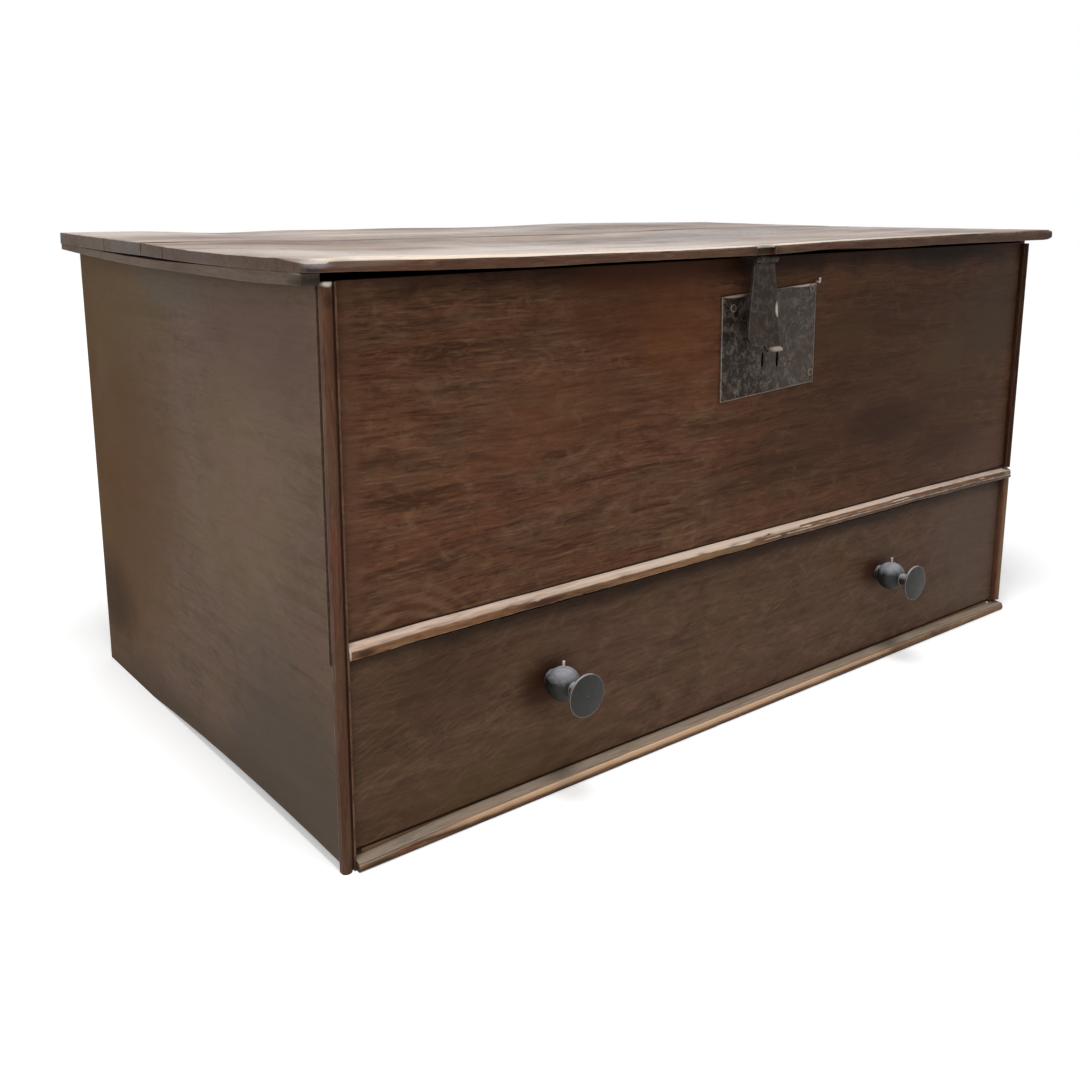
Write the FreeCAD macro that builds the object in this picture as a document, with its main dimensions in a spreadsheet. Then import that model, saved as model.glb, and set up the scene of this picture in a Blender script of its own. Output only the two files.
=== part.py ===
import FreeCAD, Part
import math
import os
from collections import namedtuple
from types import SimpleNamespace

import Sketcher
from FreeCAD import Vector

# A mule chest: a boarded chest with a hinged lid, a hasp and plate lock, and one drawer below.
# X runs across and is centred on the carcase, Y runs back from the front of the corner strips,
# Z runs up from the floor. All sizes are in millimetres.

SIZES = [
    # carcase
    ("width", 920),
    ("depth", 532),
    ("height", 447.8),
    ("fit_gap", 0.2),
    ("end_thick", 19),
    ("end_wear", 8.5),
    ("wear_end", 400),
    ("wear_radius", 3860),
    ("quirk_width", 4),
    ("quirk_depth", 2.5),
    ("quirk_stop", 2.5),
    ("front_recess", 5.5),
    ("front_thick", 18),
    ("front_foot", 170.5),
    ("back_thick", 13),
    ("back_rebate", 10),
    ("back_foot", 14),
    ("back_joint", 230),
    ("floor_thick", 14),
    ("floor_up", 1.5),
    ("floor_housing", 6),
    ("floor_joint", 268),
    # corner strips: a bead, a sunk quirk and a narrow flat
    ("strip_width", 11),
    ("strip_depth", 7),
    ("bead_width", 8.5),
    ("bead_rise", 2.6),
    ("sunk_width", 1.1),
    ("sunk_depth", 0.9),
    ("flat_set", 0.9),
    # waist and base mouldings
    ("waist_height", 12),
    ("waist_proud", 5.9),
    ("waist_nose", 5.8),
    ("waist_top_run", 5.2),
    ("waist_under", 1.1),
    ("base_height", 12.8),
    ("base_back", 6.9),
    ("base_ledge", 10.4),
    ("base_fall", 1.8),
    ("base_lip", 0.6),
    ("base_quirk", 1.5),
    ("base_bead", 9.8),
    ("base_bead_radius", 7.6),
    ("base_bead_lean", 1.6),
    ("rail_depth", 43),
    ("rail_height", 12.3),
    ("runner_width", 16),
    ("runner_height", 10),
    ("runner_z", 4),
    # nails
    ("nail_radius", 1.3),
    ("nail_head", 3.6),
    ("nail_head_rise", 1.2),
    ("nail_length", 15.5),
    ("tack_length", 10),
    ("nail_play", 0.05),
    ("tail_nail_up", 12),
    ("tail_nail_pitch", 28),
    ("strap_nail_in", 16),
    ("strap_nail_out", 48.5),
    ("hanger_nail_in", 10),
    ("hanger_nail_pitch", 34),
    ("nail_left_in", 12.3),
    ("nail_left_down", 10.7),
    ("nail_top_in", 8.6),
    ("nail_top_down", 4.8),
    ("nail_low_in", 5.9),
    ("nail_low_up", 10),
    # drawer
    ("drawer_foot", 15),
    ("drawer_gap", 2.5),
    ("drawer_set", 1),
    ("drawer_thick", 17),
    ("drawer_lip", 6),
    ("drawer_play", 0.8),
    ("side_thick", 11),
    ("side_play", 0.7),
    ("side_lift", 0.3),
    ("side_drop", 5),
    ("drawer_back_room", 32),
    ("tail_count", 3),
    ("tail_pitch", 46),
    ("tail_z", 50),
    ("tail_neck", 24),
    ("tail_wide", 30),
    ("tail_play", 0.1),
    ("bottom_z", 18),
    ("bottom_thick", 8),
    ("bottom_bite", 5.5),
    ("bottom_play", 0.1),
    ("bottom_joint", 262),
    ("drawer_back_thick", 10),
    ("drawer_back_drop", 13),
    # knobs
    ("knob_left_in", 206.5),
    ("knob_left_z", 102),
    ("knob_right_in", 250.5),
    ("knob_right_z", 99),
    ("spigot_radius", 5),
    ("spigot_play", 0.1),
    ("spigot_proud", 1.5),
    ("collar_radius", 8),
    ("ball_radius", 15),
    ("ball_reach", 16),
    ("neck_radius", 6.2),
    ("neck_end", 39.5),
    ("disc_radius", 18.5),
    ("disc_back", 44.5),
    ("disc_edge", 2),
    ("disc_dome", 1.5),
    ("pin_radius", 1.2),
    ("pin_proud", 5.5),
    ("pin_depth", 6),
    # lid
    ("lid_over_left", 17.6),
    ("lid_over_right", 14.5),
    ("lid_thick", 11.4),
    ("lid_front", 21.6),
    ("lid_board", 321.6),
    ("lid_over_back", 2.5),
    ("lid_clear", 0.4),
    ("lid_cup", 5.4),
    ("lid_back_rise", 2.4),
    ("lid_joint_gap", 0.3),
    ("lid_corner", 12),
    ("lid_arris", 3),
    ("notch_left", 43.5),
    ("notch_width", 24.5),
    ("notch_depth", 5.5),
    ("notch_height", 9),
    ("cleat_inset", 0.6),
    ("cleat_clear", 1.5),
    ("cleat_front", 1),
    ("cleat_over_back", 2),
    ("cleat_drop", 4.2),
    ("cleat_taper_y", 310),
    ("cleat_rise", 5.9),
    ("cleat_right_front", 14),
    # lid hinges
    ("hinge_in", 150),
    ("hinge_back", 5),
    ("hinge_up", 3.2),
    ("hinge_barrel", 5),
    ("hinge_pin", 2.1),
    ("hinge_bore", 2.15),
    ("hinge_pin_head", 1.5),
    ("knuckle_mid", 10),
    ("knuckle_side", 8.5),
    ("knuckle_gap", 0.5),
    ("leaf_thick", 3),
    ("strap_end_width", 18),
    ("strap_set", 10),
    ("strap_stop_in", 1.5),
    ("tail_drop", 75.8),
    ("tail_clear", 0.6),
    # hasp
    ("hasp_x", 22),
    ("hasp_y", 13),
    ("hasp_up", 1.5),
    ("hasp_barrel", 3.3),
    ("hasp_pin", 1.4),
    ("hasp_bore", 1.45),
    ("hasp_knuckle", 12),
    ("hanger_knuckle", 7.5),
    ("hanger_thick", 2.4),
    ("hanger_end", 77),
    ("hasp_gap", 0.5),
    ("hasp_thick", 2.6),
    ("hasp_back", 3.5),
    ("hasp_shoulder", 4),
    ("hasp_top_half", 13.6),
    ("hasp_length", 79.3),
    ("hasp_lean_left", 4.9),
    ("hasp_lean_right", 12.1),
    ("hasp_round", 13),
    ("lip_left", 16),
    ("lip_right", 4),
    ("lip_curl", 3.4),
    ("hasp_shut", 8.5),
    # staple on the back of the hasp
    ("staple_x", 10),
    ("staple_thick", 3),
    ("staple_drop", 54.5),
    ("eye_near", 9.6),
    ("eye_far", 14.7),
    ("eye_height", 11),
    ("staple_wall", 2),
    ("staple_tip", 1.4),
    # lock plate and lock
    ("plate_x", 57.7),
    ("plate_drop", 128.9),
    ("plate_width", 132),
    ("plate_height", 97),
    ("plate_rise", 7),
    ("plate_lean", 1.7),
    ("plate_thick", 2),
    ("staple_slot", 3.9),
    ("staple_slot_drop", 61.3),
    ("staple_slot_height", 20),
    ("key_x", 19.4),
    ("key_slot", 4),
    ("key_slot_drop", 102.2),
    ("key_slot_height", 15),
    ("split_slot_x", 2.1),
    ("split_slot", 3.2),
    ("split_slot_drop", 100.8),
    ("split_slot_height", 14.4),
    ("case_left", 38.5),
    ("case_right", 53.5),
    ("case_foot_drop", 107.8),
    ("case_top_drop", 35.8),
    ("case_depth", 14.4),
    ("case_wall", 1.4),
    ("case_gap", 0.3),
    ("bolt_set", 1.2),
    ("bolt_thick", 2),
    ("bolt_height", 8),
    ("bolt_clear", 0.8),
    ("bolt_length", 53.7),
    ("bolt_leg_x", 12),
    ("bolt_leg", 15),
    ("bolt_leg_drop", 29),
    ("talon", 5),
    ("guide_width", 4),
    ("guide_left_x", 5),
    ("guide_right_x", 32),
    ("guide_wall", 2),
    ("guide_play", 0.2),
    ("spring_thick", 0.8),
    ("spring_left", 8),
    ("spring_right", 44),
    ("key_pin_radius", 1.5),
    ("key_pin_drop", 94.8),
    ("tack_in", 0.3),
    ("tack_over", 1.1),
    ("tack_radius", 1.1),
    ("tack_rise", 5),
    ("tack_bend", 4),
]

XY = "XY_Plane"
XZ = "XZ_Plane"
YZ = "YZ_Plane"
START, END, CENTRE = range(1, 4)

# Arc lies between two corners of an outline: its centre, and +1 for a left turn or -1 for a right one.
Arc = namedtuple("Arc", "x y turn")
# Bow does the same with a radius instead of a centre, for arcs well under a half circle.
Bow = namedtuple("Bow", "radius turn")
Circle = namedtuple("Circle", "x y radius")


class Dim:
    """A size kept as a number and as the expression that works it out from the sheet."""

    def __init__(self, value, text):
        self.value = value
        self.text = text

    def __add__(self, other):
        return join(self, "+", other, self.value + number(other))

    def __radd__(self, other):
        return dim(other) + self

    def __sub__(self, other):
        return join(self, "-", other, self.value - number(other))

    def __rsub__(self, other):
        return dim(other) - self

    def __mul__(self, other):
        return join(self, "*", other, self.value * number(other))

    def __rmul__(self, other):
        return dim(other) * self

    def __truediv__(self, other):
        return join(self, "/", other, self.value / number(other))

    def __neg__(self):
        return Dim(-self.value, f"(-{self.text})")


def dim(value):
    return value if isinstance(value, Dim) else Dim(value, f"({value:.9g})")


def number(value):
    return dim(value).value


def join(left, sign, right, value):
    return Dim(value, f"({left.text} {sign} {dim(right).text})")


def root(value):
    return Dim(math.sqrt(value.value), f"sqrt({value.text})")


def sine(angle):
    return Dim(math.sin(math.radians(angle.value)), f"sin({angle.text})")


def cosine(angle):
    return Dim(math.cos(math.radians(angle.value)), f"cos({angle.text})")


def write_sheet():
    """Put the driving sizes in the spreadsheet and give them back as Dims."""
    sheet = doc.addObject("Spreadsheet::Sheet", "Sizes")
    sizes = {}
    for row, (alias, value) in enumerate(SIZES, start=1):
        sheet.set(f"A{row}", alias)
        sheet.set(f"B{row}", str(value))
        sheet.setAlias(f"B{row}", alias)
        sizes[alias] = Dim(value, f"Sizes.{alias}")
    doc.recompute()
    return SimpleNamespace(**sizes)


def bind(item, name, value):
    item.setExpression(name, dim(value).text)


def new_body(label, x=0, y=0, z=0):
    """An empty body whose own origin stands at x, y, z."""
    body = doc.addObject("PartDesign::Body", label)
    body.Label = label
    body.AllowCompound = True
    bind(body, "Placement.Base.x", x)
    bind(body, "Placement.Base.y", y)
    bind(body, "Placement.Base.z", z)
    return body


def arc_centre(start, end, arc):
    """The centre on the chord's middle line, and whether the arc's x is what fixes it."""
    middle = (start + end) / 2
    chord = end - start
    if isinstance(arc, Bow):
        half = chord.Length / 2
        away = math.sqrt(number(arc.radius) ** 2 - half ** 2)
        return middle + Vector(-chord.y, chord.x, 0).normalize() * away * arc.turn, False
    if abs(chord.x) >= abs(chord.y):
        y = number(arc.y)
        return Vector(middle.x - (y - middle.y) * chord.y / chord.x, y, 0), False
    x = number(arc.x)
    return Vector(x, middle.y - (x - middle.x) * chord.x / chord.y, 0), True


def add_arc(sketch, start, end, arc):
    """Add the arc, fix its centre or radius, and tell which of its ends the outline meets first."""
    centre, by_x = arc_centre(start, end, arc)
    first, last = (start, end) if arc.turn > 0 else (end, start)
    begin = math.atan2(first.y - centre.y, first.x - centre.x)
    finish = math.atan2(last.y - centre.y, last.x - centre.x)
    if finish <= begin:
        finish += 2 * math.pi
    circle = Part.Circle(centre, Vector(0, 0, 1), (start - centre).Length)
    geometry = sketch.addGeometry(Part.ArcOfCircle(circle, begin, finish), False)
    ends = (START, END) if arc.turn > 0 else (END, START)
    if isinstance(arc, Bow):
        return geometry, ends, [("Radius", geometry, None, arc.radius)]
    if by_x:
        return geometry, ends, [("DistanceX", geometry, CENTRE, arc.x)]
    return geometry, ends, [("DistanceY", geometry, CENTRE, arc.y)]


def constrain(sketch, kind, geometry, point, value):
    """Hold one coordinate of a point, or a radius, to an expression."""
    if point is None:
        index = sketch.addConstraint(Sketcher.Constraint(kind, geometry, number(value)))
    else:
        index = sketch.addConstraint(Sketcher.Constraint(kind, -1, 1, geometry, point, number(value)))
    bind(sketch, f"Constraints[{index}]", value)


def draw_circle(sketch, circle):
    centre = Vector(number(circle.x), number(circle.y), 0)
    geometry = sketch.addGeometry(Part.Circle(centre, Vector(0, 0, 1), number(circle.radius)), False)
    constrain(sketch, "DistanceX", geometry, CENTRE, circle.x)
    constrain(sketch, "DistanceY", geometry, CENTRE, circle.y)
    constrain(sketch, "Radius", geometry, None, circle.radius)


def draw_outline(sketch, outline):
    """Draw a closed outline of corners, with straight lines or arcs between them."""
    corners = []
    arcs = {}
    for item in outline:
        if isinstance(item, (Arc, Bow)):
            arcs[len(corners) - 1] = item
        else:
            corners.append(item)
    spots = [Vector(number(x), number(y), 0) for x, y in corners]
    pieces = []
    held = []
    for index, start in enumerate(spots):
        end = spots[(index + 1) % len(spots)]
        if index in arcs:
            geometry, ends, more = add_arc(sketch, start, end, arcs[index])
            held += more
        else:
            geometry = sketch.addGeometry(Part.LineSegment(start, end), False)
            ends = (START, END)
        pieces.append((geometry, ends))
    for index, (geometry, ends) in enumerate(pieces):
        following, their_ends = pieces[(index + 1) % len(pieces)]
        meet = Sketcher.Constraint("Coincident", geometry, ends[1], following, their_ends[0])
        sketch.addConstraint(meet)
        constrain(sketch, "DistanceX", geometry, ends[0], corners[index][0])
        constrain(sketch, "DistanceY", geometry, ends[0], corners[index][1])
    for entry in held:
        constrain(sketch, *entry)


def draw(body, plane, outlines, start):
    """Sketch the outlines on one of the body's own planes, moved to start along its axis."""
    planes = {item.Role: item for item in body.Origin.OriginFeatures}
    sketch = body.newObject("Sketcher::SketchObject", body.Label + "_sketch")
    sketch.AttachmentSupport = [(planes[plane], "")]
    sketch.MapMode = "FlatFace"
    bind(sketch, "AttachmentOffset.Base.z", -dim(start) if plane == XZ else start)
    for outline in outlines:
        if isinstance(outline, Circle):
            draw_circle(sketch, outline)
        else:
            draw_outline(sketch, outline)
    return sketch


def pad(body, plane, outlines, start, length):
    """Grow the outlines from start along the plane's positive axis."""
    sketch = draw(body, plane, outlines, start)
    feature = body.newObject("PartDesign::Pad", body.Label + "_pad")
    feature.Profile = sketch
    feature.Reversed = plane == XZ
    bind(feature, "Length", length)
    return feature


def pocket(body, plane, outlines, start, length):
    """Cut the outlines away from start along the plane's positive axis."""
    sketch = draw(body, plane, outlines, start)
    feature = body.newObject("PartDesign::Pocket", body.Label + "_pocket")
    feature.Profile = sketch
    feature.Reversed = plane != XZ
    bind(feature, "Length", length)
    return feature


def turn(body, outline):
    """Revolve an outline of (radius, y) corners about the body's Y axis."""
    sketch = draw(body, XY, [outline], 0)
    feature = body.newObject("PartDesign::Revolution", body.Label + "_turning")
    feature.Profile = sketch
    feature.ReferenceAxis = (sketch, ["V_Axis"])
    feature.Angle = 360
    return feature


def mirror(source, label):
    """The same piece on the other side of the chest's middle plane."""
    feature = doc.addObject("Part::Mirroring", label)
    feature.Label = label
    feature.Source = source
    feature.Normal = Vector(1, 0, 0)
    return feature


def box(x0, y0, x1, y1):
    return [(x0, y0), (x1, y0), (x1, y1), (x0, y1)]


def block(label, x0, x1, y0, y1, z0, z1):
    """A plain sawn board as a body, placed at its lower front left corner."""
    body = new_body(label, x0, y0, z0)
    pad(body, XY, [box(0, 0, dim(x1) - x0, dim(y1) - y0)], 0, dim(z1) - z0)
    return body


def holes(centres, radius):
    return [Circle(x, y, radius) for x, y in centres]


def nails(label, plane, spots, length, inward):
    """Nails at spots (two coordinates and the height of the face); inward is +1 along the axis."""
    body = new_body(label)
    for x, y, face in spots:
        shank_start = face if inward > 0 else face - length
        head_start = face - S.nail_head_rise if inward > 0 else face
        pad(body, plane, [Circle(x, y, S.nail_radius)], shank_start, length)
        pad(body, plane, [Circle(x, y, S.nail_head)], head_start, S.nail_head_rise)
    return body


def nail_holes(body, plane, centres, start, length):
    """Holes for nails right through a piece."""
    return pocket(body, plane, holes(centres, S.nail_radius + S.nail_play), start, length)


def tack_holes(body, spots):
    """Blind holes up into a lid board for the tacks of the iron under it."""
    for x, y, face in spots:
        length = face + S.tack_length + S.nail_play - lid_low
        nail_holes(body, XY, [(x + lid_left, y)], lid_low, length)


# ---------------------------------------------------------------- carcase


def end_board():
    """Left end: worn hollow along the foot, rebated for front and back, housed for the floor."""
    body = new_body("end_board_left", -half, end_front, 0)
    back = S.depth - end_front
    outline = [
        (0, S.end_wear),
        Bow(S.wear_radius, -1),
        (S.wear_end - end_front, 0),
        (back, 0),
        (back, S.height),
        (0, S.height),
    ]
    pad(body, YZ, [outline], 0, S.end_thick)
    front = front_back + S.fit_gap - end_front
    lip = lip_back + S.fit_gap - end_front
    x0 = S.strip_width
    pocket(body, XY, [box(x0, 0, S.end_thick, front)], S.front_foot, S.height - S.front_foot)
    pocket(body, XY, [box(x0, 0, S.end_thick, lip)], 0, S.front_foot)
    rebate = box(S.end_thick - S.back_rebate, back - S.back_thick, S.end_thick, back)
    pocket(body, XY, [rebate], 0, S.height)
    housing = box(S.end_thick - S.floor_housing, floor_z, S.end_thick, floor_z + S.floor_thick)
    pocket(body, XZ, [housing], front, back - S.back_thick - front)
    quirk_foot = S.front_foot - S.quirk_stop
    quirk_outline = [
        (0, quirk_foot),
        Arc(S.quirk_width / 2, quirk_foot, 1),
        (S.quirk_width, quirk_foot),
        (S.quirk_width, S.height),
        (0, S.height),
    ]
    pocket(body, YZ, [quirk_outline], 0, S.quirk_depth)
    return body


def front_board():
    """The wide board over the drawer, mortised from its face for the lock."""
    body = new_body("front_board", 0, S.front_recess, S.front_foot)
    reach = strip_inner - S.fit_gap
    pad(body, XZ, [box(-reach, 0, reach, S.height - S.front_foot)], 0, S.front_thick)
    mortise = box(
        -S.case_left - S.case_gap,
        case_foot - S.case_gap - S.front_foot,
        S.case_right + S.case_gap,
        case_top + S.case_gap - S.front_foot,
    )
    pocket(body, XZ, [mortise], 0, S.case_depth + S.case_gap)
    local = [(x, z - S.front_foot) for x, z, face in plate_nail_spots]
    nail_holes(body, XZ, local, 0, S.front_thick)
    return body


def back_planks():
    """Two planks nailed into the rebates of the ends."""
    reach = half - S.end_thick + S.back_rebate - S.fit_gap
    y0 = S.depth - S.back_thick + S.fit_gap
    lower = block("back_plank_lower", -reach, reach, y0, S.depth, S.back_foot, S.back_joint)
    upper = block("back_plank_upper", -reach, reach, y0, S.depth, S.back_joint + S.fit_gap, S.height)
    tail_spots = [(x + reach, z - S.back_joint - S.fit_gap) for x, z, face in tail_nail_spots]
    nail_holes(upper, XZ, tail_spots, 0, S.back_thick)
    return [lower, upper]


def floor_planks():
    """Two planks housed in the ends, over the drawer."""
    reach = end_inner + S.floor_housing - S.fit_gap
    top = floor_z + S.floor_thick - S.fit_gap
    y0 = front_back + S.fit_gap
    y1 = S.depth - S.back_thick
    front = block("floor_plank_front", -reach, reach, y0, S.floor_joint, floor_z, top)
    back = block("floor_plank_back", -reach, reach, S.floor_joint + S.fit_gap, y1, floor_z, top)
    return [front, back]


def strip_profile(side):
    """Section of a corner strip; side is +1 where the bead stands on the left."""
    radius = (S.bead_width * S.bead_width / 4 + S.bead_rise * S.bead_rise) / (S.bead_rise * 2)
    sunk = S.bead_rise + S.sunk_depth
    flat = S.bead_width + S.sunk_width
    return [
        (0, S.strip_depth),
        (0, S.bead_rise),
        Arc(S.bead_width / 2 * side, radius, side),
        (S.bead_width * side, S.bead_rise),
        (S.bead_width * side, sunk),
        (flat * side, sunk),
        (flat * side, S.flat_set),
        (S.strip_width * side, S.flat_set),
        (S.strip_width * side, S.strip_depth),
    ]


def corner_strip(label, side, z0, z1):
    body = new_body(label, -half * side, 0, z0)
    pad(body, XY, [strip_profile(side)], 0, dim(z1) - z0)
    return body


def waist_moulding():
    """Small moulding at the foot of the front board, running across the right strip."""
    body = new_body("waist_moulding", -strip_inner + S.fit_gap, S.front_recess, S.front_foot)
    nose = -S.waist_proud
    outline = [
        (0, 0),
        (0, S.waist_height),
        (-S.waist_top_run, S.waist_height - S.waist_top_run),
        (nose, S.waist_nose),
        (nose, S.waist_under),
        (nose + S.waist_under, 0),
    ]
    pad(body, YZ, [outline], 0, half + strip_inner - S.fit_gap)
    return body


def base_moulding():
    """Sloping ledge with a quirk and a bold bead under it, standing on the floor."""
    body = new_body("base_moulding", -strip_inner + S.fit_gap, 0, 0)
    edge = S.base_back - S.base_ledge
    edge_z = S.base_height - S.base_fall
    bead_y = edge + S.base_quirk
    outline = [
        (S.base_back, 0),
        (S.base_back, S.base_height),
        (edge, edge_z),
        (edge, edge_z - S.base_lip),
        (bead_y, S.base_bead),
        Bow(S.base_bead_radius, 1),
        (bead_y - S.base_bead_lean, 0),
    ]
    pad(body, YZ, [outline], 0, half + strip_inner - S.fit_gap)
    return body


def base_rail():
    """Flat rail behind the base moulding, between the ends."""
    reach = end_inner - S.fit_gap
    y0 = S.base_back + S.fit_gap
    return block("base_rail", -reach, reach, y0, y0 + S.rail_depth, 0, S.rail_height)


def drawer_runner():
    y0 = S.base_back + S.fit_gap + S.rail_depth + S.fit_gap
    y1 = S.depth - S.back_thick
    top = S.runner_z + S.runner_height
    return block("drawer_runner_left", -end_inner, -end_inner + S.runner_width, y0, y1, S.runner_z, top)


# ---------------------------------------------------------------- lid


def cup_height(y, radius):
    """Height of a face of the cupped lid board at y, for the face's own radius."""
    away = y - cup_y
    return cup_centre - root(radius * radius - away * away)


def back_height(y):
    """Height of the underside of the lid's back board at y."""
    return lid_edge + S.lid_back_rise * (y - lid_joint) / (lid_back - lid_joint)


def lid_board_front():
    """Cupped front board of the lid, with rounded front corners and a notch over the hasp."""
    body = new_body("lid_board_front", -lid_left, 0, 0)
    front = -S.lid_front
    top_radius = cup_radius - S.lid_thick
    arris_y = front + S.lid_arris
    arris_z = cup_height(arris_y, top_radius)
    outline = [
        (front, cup_height(front, cup_radius)),
        Arc(cup_y, cup_centre, 1),
        (lid_joint, cup_height(lid_joint, cup_radius)),
        (lid_joint, cup_height(lid_joint, top_radius)),
        Arc(cup_y, cup_centre, -1),
        (arris_y, arris_z),
        Arc(arris_y, arris_z - S.lid_arris, 1),
        (front, arris_z - S.lid_arris),
    ]
    length = lid_left + lid_right
    pad(body, YZ, [outline], 0, length)
    r = S.lid_corner
    left_corner = [
        (-r, front - r),
        (r, front - r),
        (r, front),
        Arc(r, front + r, -1),
        (0, front + r),
        (-r, front + r),
    ]
    right_corner = [
        (length + r, front + r),
        (length, front + r),
        Arc(length - r, front + r, -1),
        (length - r, front),
        (length - r, front - r),
        (length + r, front - r),
    ]
    pocket(body, XY, [left_corner, right_corner], lid_low, S.lid_thick * 3)
    notch_x = lid_left - S.notch_left
    notch = box(notch_x, front - r, notch_x + S.notch_width, front + S.notch_depth)
    pocket(body, XY, [notch], lid_low, lid_edge + S.notch_height - lid_low)
    tack_holes(body, hanger_nail_spots)
    return body


def lid_board_back():
    """Flat back board of the lid, a little higher at its back edge."""
    body = new_body("lid_board_back", -lid_left, 0, 0)
    y0 = lid_joint + S.lid_joint_gap
    y1 = lid_back
    outline = [
        (y0, back_height(y0)),
        (y1, back_height(y1)),
        (y1, back_height(y1) + S.lid_thick),
        (y0, back_height(y0) + S.lid_thick),
    ]
    pad(body, YZ, [outline], 0, lid_left + lid_right)
    tack_holes(body, strap_nail_spots)
    return body


def cleat(label, x0, x1, y0):
    """Clamp under one end of the lid: its top follows both boards, its foot rises to the back."""
    body = new_body(label, x0, 0, 0)
    gap = S.fit_gap / 2
    outline = [
        (y0, cleat_foot),
        (S.cleat_taper_y, cleat_foot),
        (cleat_back, cleat_foot + S.cleat_rise),
        (cleat_back, back_height(cleat_back) - gap),
        (lid_joint, lid_edge - gap),
        Arc(cup_y, cup_centre - gap, -1),
        (y0, cup_height(y0, cup_radius) - gap),
    ]
    pad(body, YZ, [outline], 0, x1 - x0)
    return body


def hinge_tail(label, x):
    """Hinge leaf on the back planks, with two outer knuckles."""
    body = new_body(label, x, 0, 0)
    y0 = S.depth
    top = hinge_z - S.hinge_barrel - S.tail_clear
    side = S.knuckle_mid / 2 + S.knuckle_gap
    end = hinge_half
    plate = [
        (-end, tail_foot + end / 2),
        (-end / 2, tail_foot),
        (end / 2, tail_foot),
        (end, tail_foot + end / 2),
        (end, top),
        (-end, top),
    ]
    pad(body, XZ, [plate], y0, S.leaf_thick)
    ears = [box(-end, top, -side, hinge_z), box(side, top, end, hinge_z)]
    pad(body, XZ, ears, y0, S.leaf_thick)
    barrel = [Circle(hinge_y, hinge_z, S.hinge_barrel)]
    pad(body, YZ, barrel, -end, S.knuckle_side)
    pad(body, YZ, barrel, side, S.knuckle_side)
    bore = [Circle(hinge_y, hinge_z, S.hinge_bore)]
    pocket(body, YZ, bore, -end, end * 2)
    nail_holes(body, XZ, [(0, z) for z in tail_nail_heights], y0, S.leaf_thick)
    return body


def hinge_strap(label, x):
    """Hinge strap under the lid's back board, tapering to a round end, with the middle knuckle."""
    body = new_body(label, x, 0, 0)
    y0 = strap_start
    y1 = strap_stop
    end = hinge_half
    side_view = [
        (y0, back_height(y0) - S.leaf_thick),
        (y1, back_height(y1) - S.leaf_thick),
        (y1, back_height(y1)),
        (y0, back_height(y0)),
    ]
    pad(body, YZ, [side_view], -end, end * 2)
    narrow = S.strap_end_width / 2
    trim = [
        (-end * 2, y0 - end),
        (end * 2, y0 - end),
        (end * 2, y1),
        (end, y1),
        (narrow, y0 + narrow),
        Arc(0, y0 + narrow, -1),
        (-narrow, y0 + narrow),
        (-end, y1),
        (-end * 2, y1),
    ]
    pocket(body, XY, [trim], hinge_z - S.hinge_barrel, S.hinge_barrel * 2)
    tab = [
        (y1, back_height(y1) - S.leaf_thick),
        (hinge_y, hinge_z + S.hinge_barrel - S.leaf_thick),
        (hinge_y, hinge_z + S.hinge_barrel),
        (y1, back_height(y1)),
    ]
    pad(body, YZ, [tab], -S.knuckle_mid / 2, S.knuckle_mid)
    barrel = [Circle(hinge_y, hinge_z, S.hinge_barrel)]
    pad(body, YZ, barrel, -S.knuckle_mid / 2, S.knuckle_mid)
    bore = [Circle(hinge_y, hinge_z, S.hinge_bore)]
    pocket(body, YZ, bore, -S.knuckle_mid / 2, S.knuckle_mid)
    low = hinge_z - S.hinge_barrel
    nail_holes(body, XY, [(0, y) for y in strap_nail_ys], low, S.hinge_barrel * 2)
    return body


def hinge_pin(label, x):
    """Rivet-headed pin through the three knuckles."""
    body = new_body(label, x, hinge_y, hinge_z)
    end = hinge_half
    pad(body, YZ, [Circle(0, 0, S.hinge_pin)], -end, end * 2)
    pad(body, YZ, [Circle(0, 0, S.hinge_pin * 1.5)], -end - S.hinge_pin_head, S.hinge_pin_head)
    pad(body, YZ, [Circle(0, 0, S.hinge_pin * 1.5)], end, S.hinge_pin_head)
    return body


# ---------------------------------------------------------------- hasp and lock


def hasp_hanger():
    """Strap under the lid that follows its cup and ends in two knuckles for the hasp."""
    body = new_body("hasp_hanger", -S.hasp_x, 0, 0)
    y0 = -S.hasp_y
    y1 = S.hanger_end
    low_radius = cup_radius + S.hanger_thick
    half_strap = hanger_half
    outline = [
        (y0, cup_height(y0, low_radius)),
        Arc(cup_y, cup_centre, 1),
        (y1, cup_height(y1, low_radius)),
        (y1, cup_height(y1, cup_radius)),
        Arc(cup_y, cup_centre, -1),
        (y0, cup_height(y0, cup_radius)),
    ]
    pad(body, YZ, [outline], -half_strap, half_strap * 2)
    gap = S.hasp_knuckle / 2 + S.hasp_gap
    low = hasp_z - S.hasp_barrel * 2
    slot = box(-gap, y0 - S.hasp_barrel, gap, y0 + S.hasp_barrel + S.hasp_gap * 2)
    pocket(body, XY, [slot], low, S.hasp_barrel * 4)
    barrel = [Circle(y0, hasp_z, S.hasp_barrel)]
    pad(body, YZ, barrel, -half_strap, S.hanger_knuckle)
    pad(body, YZ, barrel, gap, S.hanger_knuckle)
    pocket(body, YZ, [Circle(y0, hasp_z, S.hasp_bore)], -half_strap, half_strap * 2)
    nail_holes(body, XY, [(0, y) for y in hanger_nail_ys], low, S.hasp_barrel * 4)
    return body


def hasp_pin():
    body = new_body("hasp_pin", -S.hasp_x, -S.hasp_y, hasp_z)
    pad(body, YZ, [Circle(0, 0, S.hasp_pin)], -hanger_half - S.hasp_gap, (hanger_half + S.hasp_gap) * 2)
    return body


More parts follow.
